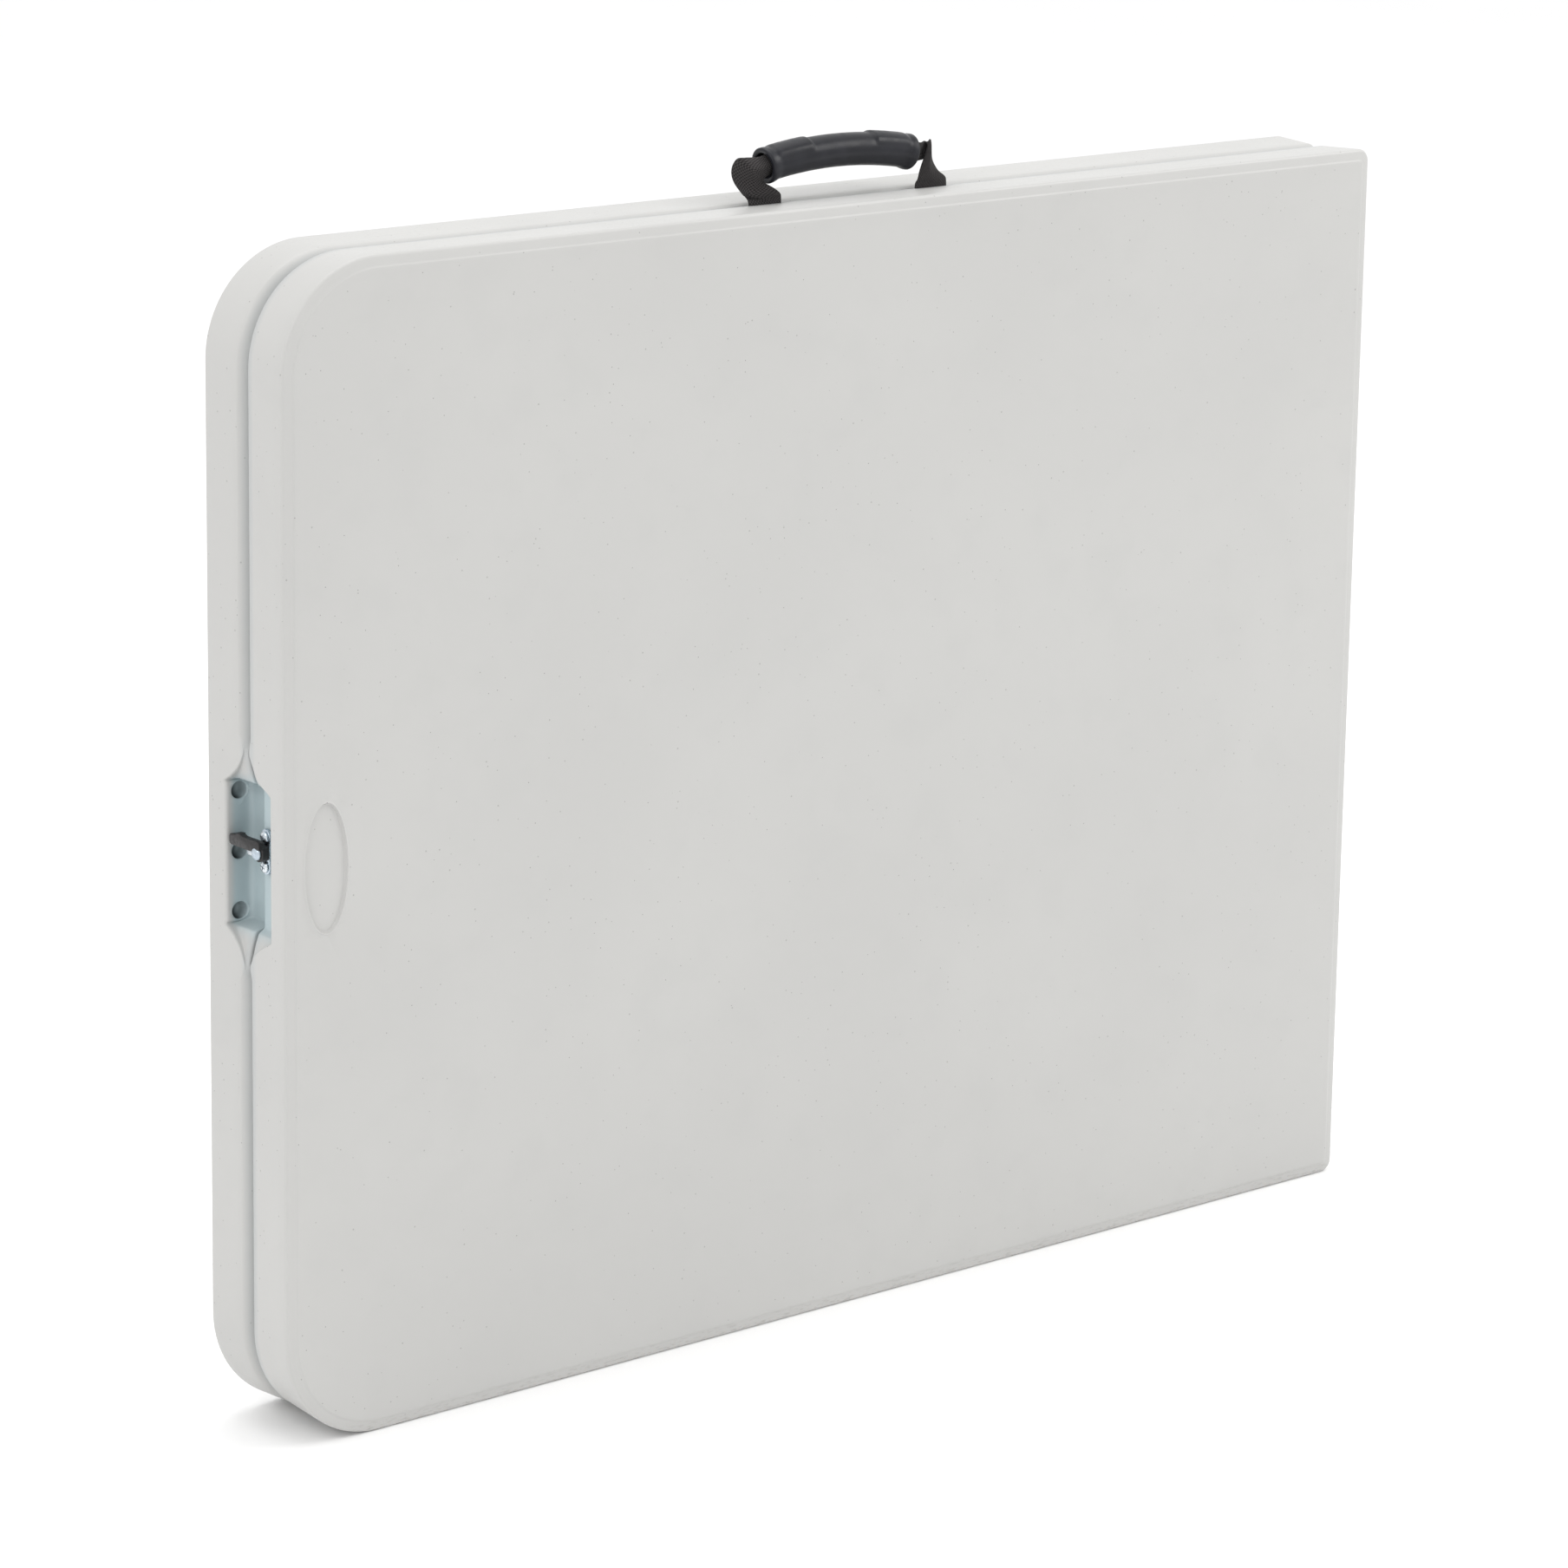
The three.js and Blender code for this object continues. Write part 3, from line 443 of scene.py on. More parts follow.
rubber = plain_finish(
    "foot_rubber", (0.045, 0.047, 0.05), 0.62, 0.0,
    [((6, 4, 0.45, 0.7), (0.09, 0.088, 0.085), 0.5)], [((3, 3, 0.4, 0.7), 0.12)], [((0.6, 3), 0.06)])


def place(obj, body, material, slot, *nodes):
    """Dresses a piece, lets it ride on its body, and hides the CAD nodes that it stands for."""
    obj.data.materials.clear()
    obj.data.materials.append(material)
    if body:
        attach(obj, body)
    if nodes:
        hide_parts(*nodes)
    return obj


# ---- outline of a half: samples that stay matched while the outline is drawn in ----
def corner_radius(big, inset):
    return max((BIG_CORNER if big else SMALL_CORNER) - inset, 4 if big else 3)


def edge_positions(low, high, step, dense=()):
    """Positions from low to high, step apart, and closer around the dense (centre, reach, step) places."""
    marks = set(np.round(np.arange(low, high + 1e-6, step), 3)) | {low, high}
    for centre, reach, fine in dense:
        marks = {m for m in marks if abs(m - centre) > reach}
        marks |= set(np.round(np.arange(centre - reach, centre + reach + 1e-6, fine), 3))
    return sorted(marks)


LATCH_EDGE = edge_positions(
    BIG_CORNER, WIDTH - BIG_CORNER, 24,
    [(436, 16, 2), (370, 40, 6), (419, 12, 0.75), (310, 18, 1.5), (RECESS_Z[0], 6, 0.5)])
LONG_EDGE = edge_positions(LATCH_X + BIG_CORNER, FOLD_X - FOLD_MARGIN, 27,
                           [(x + s * (STRAP_HALF + 2), 4, 1) for x in STRAPS for s in (-1, 1)])
FOLD_EDGE = edge_positions(FOLD_MARGIN, WIDTH - FOLD_MARGIN, 26)


def outline_samples():
    """(kind, value) pairs all round, anticlockwise seen from the front, starting at the lower long edge."""
    samples = [("low", x) for x in LONG_EDGE]
    samples += [("corner", 0, t) for t in np.linspace(-90, 0, 9)]
    samples += [("fold", z) for z in FOLD_EDGE]
    samples += [("corner", 1, t) for t in np.linspace(0, 90, 9)]
    samples += [("high", x) for x in reversed(LONG_EDGE)]
    samples += [("corner", 2, t) for t in np.linspace(90, 180, 27)[1:-1]]
    samples += [("latch", z) for z in reversed(LATCH_EDGE)]
    samples += [("corner", 3, t) for t in np.linspace(180, 270, 27)[1:-1]]
    return samples


SAMPLES = outline_samples()


def outline_point(sample, inset):
    kind = sample[0]
    if kind == "low":
        return sample[1], inset
    if kind == "high":
        return sample[1], WIDTH - inset
    if kind == "fold":
        return FOLD_X - inset, sample[1]
    if kind == "latch":
        return LATCH_X + inset, sample[1]
    number, turn = sample[1], math.radians(sample[2])
    radius = corner_radius(number > 1, inset)
    centre_x = FOLD_X - inset - radius if number < 2 else LATCH_X + inset + radius
    centre_z = inset + radius if number in (0, 3) else WIDTH - inset - radius
    return centre_x + radius * math.cos(turn), centre_z + radius * math.sin(turn)


# ---- section of a half, as (inset, y) pairs from the face over the wall and the rim into the tray ----
def smoothstep(t):
    t = min(max(t, 0), 1)
    return t * t * (3 - 2 * t)


def face_section():
    start = [(SHOULDER + 3, FACE_Y), (SHOULDER + 0.9, FACE_Y), (SHOULDER + 0.3, FACE_Y - 0.12)]
    start += [(SHOULDER - 0.2, FACE_Y - 0.45), (SHOULDER - 0.9, FACE_Y - 0.62)]
    start += [(SHOULDER - 2.6, FACE_Y - 0.85), (CREASE + 0.8, FACE_Y - 1.3)]
    centre_y = FACE_Y - 1.45 - CREASE
    for turn in (80, 64, 48, 32, 18, 4):
        a = math.radians(turn)
        start.append((CREASE * (1 - math.cos(a)), centre_y + CREASE * math.sin(a)))
    return start


WALL_TOP = face_section()[-1]
WALL_STEPS, TURN_STEPS, BOTTOM_STEPS = 5, 25, 5  # the notched wall's turn has 25 points too


def spread(a, b, count):
    """count points in a row from a, which is left out, to b."""
    a, b = np.array(a), np.array(b)
    return [a + (b - a) * k / count for k in range(1, count + 1)]


def plain_wall(side):
    """Wall with draft, a rounded inner edge and the rim that meets the other half."""
    rim, inwards, upwards = RIMS[side]
    low_y = rim + upwards
    points = spread(WALL_TOP, (DRAFT, low_y), WALL_STEPS)
    for k in range(1, TURN_STEPS + 1):
        t = k / TURN_STEPS
        bend = 2 * t * (1 - t)
        points.append((DRAFT + inwards * (0.22 * bend + t * t), low_y - upwards * (0.5 * bend + t * t)))
    return points + spread((DRAFT + inwards, rim), (RIM_END, rim), BOTTOM_STEPS)


def notched_wall(depth, floor, side):
    """The same, with a notch cut into the wall to an inset depth, up to a floor at that y."""
    at_wall = DRAFT * (WALL_TOP[1] - floor) / WALL_TOP[1]
    rim = RIMS[side][0]
    path = rounded([WALL_TOP, (at_wall, floor), (depth, floor), (depth + 0.6, rim), (RIM_END, rim)],
                   [2.6 if side > 0 else 1.1, 4.5, 2.2])
    lip, inner, base = path[1:6], path[6:11], path[11:16]
    turn = [*lip[1:], *spread(lip[-1], inner[0], 4)[:-1], *inner, *spread(inner[-1], base[0], 9)[:-1], *base]
    return spread(WALL_TOP, lip[0], WALL_STEPS) + turn + spread(base[-1], (RIM_END, rim), BOTTOM_STEPS)


def tray_section(side):
    points = []
    for turn in (0, 30, 60, 90):
        a = math.radians(turn)
        points.append((28 + 3 * math.sin(a), RIMS[side][0] + 3 * (1 - math.cos(a))))
    points += [(TRAY_INSET + 0.5, 16), (TRAY_INSET + 1.5, 25)]
    points += [(TRAY_INSET + 2.2, 27.8), (TRAY_INSET + 3.6, 29.1), (TRAY_INSET + 6, TRAY_Y)]
    return points


def rear_notch(z):
    """(depth, floor, weight) of the rear half's pocket and its flares at height z."""
    low, high = RECESS_Z
    away = max(low - z, z - high)
    if away <= -2:
        return RECESS_DEPTH, RECESS_FLOOR, 1
    flare = max(away, 0)
    depth = 8.5 * math.exp(-flare / 20)
    floor = 25.5 * math.exp(-flare / 13)
    inside = smoothstep((2 - away) / 4)
    depth += (RECESS_DEPTH - depth) * inside
    floor += (RECESS_FLOOR - floor) * inside
    return depth, max(floor, RIMS[1][0] + 0.6), smoothstep((34 - flare) / 14)


def front_notch(z):
    """The front half's scoop: a long curve above and a short one below."""
    above, below = z - SCOOP_Z[1], SCOOP_Z[0] - z
    floor, weight = SCOOP_FLOOR, 1
    if above > 0:
        step = SCOOP_FLOOR * 0.38
        floor = step * (1 - smoothstep(above / 8)) + (SCOOP_FLOOR - step) * max(1 - above / 27, 0) ** 1.3
        weight = smoothstep((32 - above) / 9)
    elif below > 0:
        floor = SCOOP_FLOOR * math.exp(-((below / 10) ** 1.35))
        weight = smoothstep((31 - below) / 10)
    away = max(RECESS_Z[0] - z, z - RECESS_Z[1])
    depth = 8 * math.exp(-max(away, 0) / 16)
    depth += (SCOOP_DEPTH - depth) * smoothstep((2 - away) / 4)
    return depth, max(floor, RIMS[-1][0] + 0.6), weight


def wall_section(sample, side):
    plain = plain_wall(side)
    if sample[0] == "latch":
        depth, floor, weight = (rear_notch if side > 0 else front_notch)(sample[1])
        if weight > 0:
            notch = notched_wall(depth, floor, side)
            return [np.array(p) * (1 - weight) + np.array(q) * weight for p, q in zip(plain, notch)]
    if sample[0] == "high":
        relief = strap_relief(sample[1])
        return [(inset, y + relief * smoothstep((9 - y) / 8)) for inset, y in plain]
    return plain


def strap_relief(x):
    """How far the rim is drawn back at x, where a strap runs down between the halves."""
    return max(1.5 * smoothstep((4 - (abs(x - strap) - STRAP_HALF)) / 3.5) for strap in STRAPS)


def waviness(x, z):
    """The slight unevenness of a cooled double wall, in millimetres."""
    wave = 0.10 * math.sin(x / 61 + 1.3) * math.sin(z / 47 + 0.4)
    return wave + 0.06 * math.sin(x / 23 + z / 31)


def moulded_half(name, side):
    """One half of the top as a closed skin."""
    face, tray = face_section(), tray_section(side)
    rings = []
    for sample in SAMPLES:
        section = [*face, *wall_section(sample, side)]
        relief = strap_relief(sample[1]) if sample[0] == "high" else 0
        section += [(inset, y + relief * smoothstep((12 - y) / 10)) for inset, y in tray]
        ring = []
        for inset, y in section:
            x, z = outline_point(sample, inset)
            ring.append((x, side * y, z))
        rings.append(ring)
    count = len(rings[0])
    verts = [p for ring in rings for p in ring]
    faces = []
    for i in range(len(rings)):
        a, b = i * count, (i + 1) % len(rings) * count
        faces += [(a + j, a + j + 1, b + j + 1, b + j) for j in range(count - 1)]
    fill_sheet(verts, faces, [i * count for i in range(len(rings))], face_holes(side), side, True)
    fill_sheet(verts, faces, [i * count + count - 1 for i in range(len(rings))], dimples(), side, False)
    return link(name, verts, faces, SHELL_SHARP)


def face_holes(side):
    """The blank oval, pressed into the front face inside a fine raised lip."""
    if side > 0:
        return []
    centre = (LATCH_X + OVAL["inset"], OVAL["z"])
    steps = [(1.9, 0), (1.4, 0.3), (0.9, 0.55), (0.5, 0.5), (0.1, -0.1), (-0.3, -1.0), (-0.8, -OVAL["deep"]),
             (-1.6, -OVAL["deep"]), (-5.0, -OVAL["deep"]), (-9.0, -OVAL["deep"])]
    return [[centre, OVAL["half_x"], OVAL["half_z"], steps, 72]]


def dimples():
    """Tack-off dimples of the double wall, in a staggered grid over the tray."""
    steps = [(0, 0), (-1.4, 0.5), (-3.2, 3.4), (-4.2, 4.2)]
    places = [(LATCH_X + 82 + column * 54 + 27 * (row % 2), 74.65 + row * 50)
              for row in range(13) for column in range(15)]
    return [[(x, z), 7, 9.5, steps, 14] for x, z in places if x <= FOLD_X - 62]


def fill_sheet(verts, faces, border, holes, side, is_face):
    """Fills a border with triangles around ringed holes; y follows the slight waviness of the sheet."""
    level = FACE_Y if is_face else TRAY_Y
    points = [Vector((verts[i][0], verts[i][2])) for i in border]
    ids = list(border)
    edges = []
    low_x, high_x = min(p.x for p in points), max(p.x for p in points)
    low_z, high_z = min(p.y for p in points), max(p.y for p in points)

    def add(x, z, rise=0.0):
        inner = min(x - low_x, high_x - x, z - low_z, high_z - z)
        wave = waviness(x, z) * smoothstep(inner / 40)
        verts.append((x, side * (level + wave + rise), z))
        return len(verts) - 1

    for (cx, cz), half_x, half_z, steps, segments in holes:
        turns = [2 * math.pi * k / segments for k in range(segments)]
        loops = [[add(cx + (half_x + grow) * math.cos(a), cz + (half_z + grow) * math.sin(a), rise)
                  for a in turns] for grow, rise in steps]
        for outer, inner_loop in zip(loops, loops[1:]):
            for k in range(segments):
                j = (k + 1) % segments
                faces.append((outer[k], outer[j], inner_loop[j], inner_loop[k]))
        faces.append(tuple(loops[-1]))
        first = len(points)
        for index in loops[0]:
            points.append(Vector((verts[index][0], verts[index][2])))
            ids.append(index)
        edges += [(first + k, first + (k + 1) % segments) for k in range(segments)]

    for i in range(int((high_x - low_x) / SHEET_PITCH)):
        for j in range(int((high_z - low_z) / SHEET_PITCH)):
            x, z = low_x + SHEET_PITCH * (i + 0.75), low_z + SHEET_PITCH * (j + 0.75)
            if not inside_border(x, z, low_x, high_x, low_z, high_z, SHEET_PITCH * 0.6):
                continue
            if any(((x - c[0]) / (hx + 4)) ** 2 + ((z - c[1]) / (hz + 4)) ** 2 < 1
                   for c, hx, hz, *_ in holes):
                continue
            index = add(x, z)
            points.append(Vector((x, z)))
            ids.append(index)

    out, _, triangles, origin, *_ = delaunay_2d_cdt(points, edges, [], 0, 1e-5)

    def own(place_of, origins):
        return origins[0] if origins else min(range(len(points)), key=lambda k: (points[k] - place_of).length)

    for triangle in triangles:
        cx = sum(out[i].x for i in triangle) / 3
        cz = sum(out[i].y for i in triangle) / 3
        if any(((cx - c[0]) / (hx + s[0][0])) ** 2 + ((cz - c[1]) / (hz + s[0][0])) ** 2 < 0.985
               for c, hx, hz, s, _ in holes):
            continue
        faces.append(tuple(ids[own(out[i], origin[i])] for i in triangle))


def inside_border(x, z, low_x, high_x, low_z, high_z, margin):
    """True inside the rounded outline of a sheet, by at least margin."""
    if not (low_x + margin < x < high_x - margin and low_z + margin < z < high_z - margin):
        return False
    radius = max(BIG_CORNER - (low_x - LATCH_X), 4)
    for cz, sign in ((low_z + radius, -1), (high_z - radius, 1)):
        if x < low_x + radius and (z - cz) * sign > 0:
            return math.hypot(x - low_x - radius, z - cz) < radius - margin
    return True


# ---- cutters for the halves ----
def rounded_box(u0, u1, v0, v1, corner, step):
    """The outline of a rectangle whose corners are rounded by points step degrees apart."""
    points = []
    for u, v, start in ((u1 - corner, v1 - corner, 0), (u0 + corner, v1 - corner, 90),
                        (u0 + corner, v0 + corner, 180), (u1 - corner, v0 + corner, 270)):
        for turn in range(0, 91, step):
            a = math.radians(start + turn)
            points.append((u + corner * math.cos(a), v + corner * math.sin(a)))
    return points


def recess_cups():
    """Blind round cups in the floor of the rear pocket."""
    radius, mouth = HOLE["radius"], RECESS_FLOOR
    end = mouth + HOLE["deep"]
    profile = [(mouth - 1, 0), (mouth - 1, radius + 1.2), (mouth - 0.05, radius + 0.7), (mouth + 0.5, radius)]
    profile += [(end - 2, radius - 0.6), (end - 0.6, radius - 1.6), (end, radius - 3), (end, 0)]
    middle_z = sum(RECESS_Z) / 2
    return [lathe("cutter", "y", (LATCH_X + HOLE["inset"], 0, middle_z + step * HOLE["pitch"]), profile, 28)
            for step in (-1, 0, 1)]


def hinge_slots(side):
    """Slots in the rim at the fold, around the hinge leaves."""
    slots = []
    for level in ("upper", "lower"):
        (_, _, z0), (_, _, z1) = box_mm(f"{level}_hinge_pin")
        outline = rounded_box(FOLD_X - TRAY_INSET - 3, FOLD_X + 2, z0 - 1.6, z1 + 1.6, 1.5, 30)
        slots.append(loft("cutter", [[(x, y, z) for x, z in outline]
                                     for y in sorted((-side * 1.0, side * 24.0))]))
    return slots


for half, side in (("rear", 1), ("front", -1)):
    shell = moulded_half(f"{half}_moulded_top", side)
    cut(shell, hinge_slots(side) + (recess_cups() if side > 0 else []), SHELL_SHARP)
    place(shell, f"{half}_half", resin, "resin", f"{half}_top")


# ---- steel frame ----
def tube(node, body, wall, axis="x"):
    """A smooth tube in the place of a CAD one, with rounded mouths."""
    lip = 0.7
    low, high = box_mm(node)
    along = "xyz".index(axis)
    centre = (low + high) / 2
    other = [i for i in range(3) if i != along]
    radius = (high[other[0]] - low[other[0]]) / 2
    a, b = low[along], high[along]
    bore = radius - wall
    profile = [(a, bore + 0.35), (a, radius - 0.4), (a + lip * 0.5, radius - 0.08), (a + lip, radius)]
    profile += [(b - lip, radius), (b - lip * 0.5, radius - 0.08), (b, radius - 0.4), (b, bore + 0.35)]
    profile += [(b - lip, bore), (a + lip, bore)]
    made = lathe(f"{node}_steel", axis, tuple(centre), profile, 56, close=True)
    return place(made, body, powder, "powder_coat", node)


def bead(name, path, radius, body, seed):
    """A weld bead along a closed path, with the uneven ripple of a hand weld."""
    rng = random.Random(seed)
    count = len(path)
    rings = []
    for k, point in enumerate(path):
        point = Vector(point)
        along = (Vector(path[(k + 1) % count]) - Vector(path[k - 1])).normalized()
        side_way = along.cross(Vector((0.3, 0.5, 0.8))).normalized()
        up = along.cross(side_way)
        size = radius * (1 + 0.16 * math.sin(k * 2.1) + rng.uniform(-0.12, 0.12))
        rings.append([point + size * (math.cos(t) * side_way + math.sin(t) * up)
                      for t in np.linspace(0, 2 * math.pi, 10, endpoint=False)])
    return place(loft(name, rings, close=True), body, weld, "powder_coat")


def square_tube(node, body):
    """A rolled square rail with round corners and drawn-in ends."""
    low, high = box_mm(node)
    cy, cz = (low.y + high.y) / 2, (low.z + high.z) / 2
    half = (high.y - low.y) / 2

    def ring(x, size, corner):
        return [(x, y, z) for y, z in rounded_box(cy - size, cy + size, cz - size, cz + size, corner, 18)]

    wall = 1.5
    inner = half - wall
    rings = [ring(low.x, inner + 0.3, 1.2), ring(low.x, half - 0.3, 2.6), ring(low.x + 0.5, half, 2.8)]
    rings += [ring(high.x - 0.5, half, 2.8), ring(high.x, half - 0.3, 2.6), ring(high.x, inner + 0.3, 1.2)]
    rings += [ring(high.x - 0.6, inner, 1.3), ring(low.x + 0.6, inner, 1.3)]
    return place(loft(f"{node}_steel", rings, close=True), body, powder, "powder_coat", node)


def foot(node, body):
    """A ribbed rubber foot with a domed sole."""
    low, high = box_mm(node)
    cy, cz = (low.y + high.y) / 2, (low.z + high.z) / 2
    radius = (high.y - low.y) / 2
    mouth, tip = low.x, high.x
    profile = [(tip - 3.4, 0), (tip - 3.4, 10.9)]
    profile += [(mouth + 0.6, 10.9), (mouth, 11.4), (mouth, radius - 1.6), (mouth + 1, radius - 1.1)]
    for k in range(4):
        x = mouth + 5 + k * 3.6
        profile += [(x - 1.1, radius - 0.6), (x - 0.6, radius), (x + 0.9, radius), (x + 1.4, radius - 0.6)]
    profile += [(tip - 3, radius - 0.3), (tip - 1.2, radius - 1.4), (tip - 0.2, radius - 3.4)]
    profile += [(tip, radius - 6), (tip, 0)]
    return place(lathe(f"{node}_rubber", "x", (0, cy, cz), profile, 56), body, rubber, "foot_cap", node)


def crossbar_welds(half):
    """Beads where the crossbar meets the legs, and where the legs meet the axle."""
    bar_low, bar_high = box_mm(f"{half}_leg_crossbar")
    axle_low, axle_high = box_mm(f"{half}_leg_axle")
    centre = (bar_low + bar_high) / 2
    bar = (bar_high.x - bar_low.x) / 2
    axle, axle_x = (axle_high.x - axle_low.x) / 2, (axle_low.x + axle_high.x) / 2
    turns = np.linspace(0, 2 * math.pi, 30, endpoint=False)
    for level, inward in (("upper", -1), ("lower", 1)):
        low, high = box_mm(f"{half}_{level}_leg_tube")
        leg, leg_z = (high.y - low.y) / 2, (low.z + high.z) / 2
        path = []
        for t in turns:
            y = bar * math.sin(t)
            path.append((centre.x + (bar + 0.3) * math.cos(t), centre.y + y,
                         leg_z + inward * (math.sqrt(leg * leg - y * y) + 0.4)))
        bead(f"{half}_{level}_crossbar_weld", path, 1.25, f"{half}_legs", 11 + inward)
        path = []
        for t in turns:
            y = (axle - 0.8) * math.sin(t)
            path.append((axle_x + math.sqrt(axle * axle - y * y) + 0.2,
                         centre.y + y, leg_z + (leg - 0.4) * math.cos(t)))
        bead(f"{half}_{level}_axle_weld", path, 1.3, f"{half}_legs", 23 + inward)


def rivet(node, body, axis, name):
    """A smooth rivet or pin in the place of a CAD one: its two ends keep their radii, with domed heads."""
    low, high = box_mm(node)
    along = "xyz".index(axis)
    other = [i for i in range(3) if i != along]
    centre = (low + high) / 2
    radius = (high[other[0]] - low[other[0]]) / 2
    co = np.array([v.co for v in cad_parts[node].data.vertices]) / MM
    off = np.hypot(co[:, other[0]] - centre[other[0]], co[:, other[1]] - centre[other[1]])
    a, b = low[along], high[along]
    profile, started = [(a, 0)], False
    for position in sorted(set(np.round(co[:, along], 2))):
        around = off[(abs(co[:, along] - position) < 0.02) & (off > 0.3)]
        sizes = sorted(set(np.round(around, 1)))
        last = profile[-1][1]
        if started and len(sizes) > 1 and abs(sizes[-1] - last) < abs(sizes[0] - last):
            sizes.reverse()
        started = started or bool(sizes)
        profile += [(position, size) for size in sizes if size <= radius - 0.05 or position not in (a, b)]
    profile.append((b, 0))
    made = lathe(name, axis, tuple(centre), dome(profile, a, b, radius), 40)
    return place(made, body, bright_zinc, "zinc", node)


def dome(profile, a, b, radius, head=0.55):
    """Replaces a flat end of the full radius by a domed one, head high."""
    fixed = [p for p in profile if p[1] > 0]
    start = [(a, 0), (a, radius * 0.45), (a + head * 0.35, radius * 0.8), (a + head, radius)]
    end = [(b - head, radius), (b - head * 0.35, radius * 0.8), (b, radius * 0.45), (b, 0)]
    first_wide = fixed[0][1] > radius - 0.1 or fixed[0][0] > a + 0.05
    last_wide = fixed[-1][1] > radius - 0.1 or fixed[-1][0] < b - 0.05
    out = start if first_wide else [profile[0]]
    out = [*out, *[p for p in fixed if a + head < p[0] < b - head or p[1] < radius - 0.1]]
    return [*out, *(end if last_wide else [profile[-1]])]


for half in ("rear", "front"):
    legs = f"{half}_legs"
    tube(f"{half}_leg_axle", legs, 2.4, "z")
    tube(f"{half}_leg_crossbar", legs, 1.5, "z")
    for level in ("upper", "lower"):
        tube(f"{half}_{level}_leg_tube", legs, 1.6)
        tube(f"{half}_{level}_leg_extension", f"{half}_{level}_foot", 1.5)
        foot(f"{half}_{level}_foot_cap", f"{half}_{level}_foot")
        square_tube(f"{half}_{level}_rail", f"{half}_half")
        soften(f"{half}_{level}_hinge_leaf", zinc)
        soften(f"{half}_{level}_pivot_plate", zinc)
    crossbar_welds(half)
    for part, material in (("brace_short_link", zinc), ("brace_long_link", zinc), ("brace_panel_lug", zinc),
                           ("brace_leg_lug", powder)):
        soften(f"{half}_{part}", material, 0.4)
for level in ("upper", "lower"):
    rivet(f"{level}_hinge_pin", "rear_half", "z", f"{level}_fold_pin")
for half in ("rear", "front"):
    rivet(f"{half}_brace_panel_pin", f"{half}_half", "z", f"{half}_panel_rivet")
    rivet(f"{half}_brace_leg_pin", f"{half}_legs", "z", f"{half}_leg_rivet")


# ---- latch ----
pivot_y, pivot_z = ((rivet_low + rivet_high) / 2 / MM).yz


def bracket_outline():
    """The bracket: a lobe around each screw and a waist between them."""
    low, high = box_mm("latch_bracket")
    half = (high.y - low.y) / 2
    reach = (high.z - low.z) / 2 - half
    points = []
    for way, first in ((1, -10), (-1, 170)):
        for turn in range(first, first + 201, 20):
            a = math.radians(turn)
            points.append((pivot_y + half * math.cos(a), pivot_z + way * reach + half * math.sin(a)))
        points += [(pivot_y - way * (half - 0.9), pivot_z + end * reach * 0.35) for end in (way, -way)]
    return points


bracket_low, bracket_high = box_mm("latch_bracket")
BRACKET_THICK, LEVER_THICK, BOSS_RADIUS, RIVET_RADIUS, EYE_RADIUS = 2, 4.6, 3, 4.3, 5.5
bracket_face = bracket_high.x - BRACKET_THICK
bracket = plate("latch_bracket_plate", bracket_outline(), bracket_face, bracket_high.x, 0.5)
place(bracket, "front_half", zinc, "zinc", "latch_bracket")
boss = lathe("latch_boss", "x", (0, pivot_y, pivot_z),
             [(bracket_low.x, 0), (bracket_low.x, BOSS_RADIUS - 0.3), (bracket_low.x + 0.3, BOSS_RADIUS),
              (bracket_face + 0.5, BOSS_RADIUS), (bracket_face + 0.5, 0)], 32)
place(boss, "front_half", bright_zinc, "zinc")


def lever_outline():
    x_end = lever_high.y / MM
    return [(pivot_y - 4.4, pivot_z + 3.2), (pivot_y - 1, pivot_z + 1.6), (pivot_y + 6, pivot_z + 0.4),
            (x_end - 2.5, pivot_z + 0.3), (x_end - 0.7, pivot_z + 0.9), (x_end, pivot_z + 2.2),
            (x_end, pivot_z + 5.6), (x_end - 0.9, pivot_z + 6.9), (x_end - 3.5, pivot_z + 7.3),
            (13.4, pivot_z + 7.6), (11.8, pivot_z + 8.8), (10, pivot_z + 9.2), (8, pivot_z + 8.8),
            (6, pivot_z + 8.1), (1, pivot_z + 8), (pivot_y + 4, pivot_z + 8.2),
            (pivot_y - 2.4, pivot_z + 8.2), (pivot_y - 4, pivot_z + 7.2), (pivot_y - 4.7, pivot_z + 5.4)]


lever_x = lever_low.x / MM
tip, brim = rivet_low.x / MM, rivet_high.x / MM
lever = plate("latch_arm", lever_outline(), lever_x, lever_x + LEVER_THICK, 0.8)
tab = plate("latch_tab", [(16, pivot_z + 0.6), (lever_high.y / MM - 0.4, pivot_z + 0.9),
                          (lever_high.y / MM - 0.4, pivot_z + 6.6), (16, pivot_z + 6.9)],
            lever_x + LEVER_THICK - 1, lever_high.x / MM, 0.6)
eye = lathe("latch_eye", "x", (0, pivot_y, pivot_z),
            [(brim + 0.3, BOSS_RADIUS + 0.4), (brim + 0.3, EYE_RADIUS - 0.6), (brim + 0.9, EYE_RADIUS),
             (bracket_face - 0.8, EYE_RADIUS), (bracket_face - 0.3, EYE_RADIUS - 0.5),
             (bracket_face - 0.3, BOSS_RADIUS + 0.4)], 40, close=True)
place(lever, "latch", latch_plastic, "latch_plastic", "latch_lever")
place(tab, "latch", latch_plastic, "latch_plastic")
place(eye, "latch", latch_plastic, "latch_plastic")
head = lathe("latch_rivet_head", "x", (0, pivot_y, pivot_z),
             [(tip, 0), (tip, 1.0), (tip + 0.15, 2.1), (tip + 0.6, 3.2), (tip + 1.3, 4.0),
              (tip + 1.9, RIVET_RADIUS), (brim - 0.2, RIVET_RADIUS), (brim, 4.0), (brim, 0)], 48)
place(head, "front_half", zinc, "zinc", "latch_rivet")


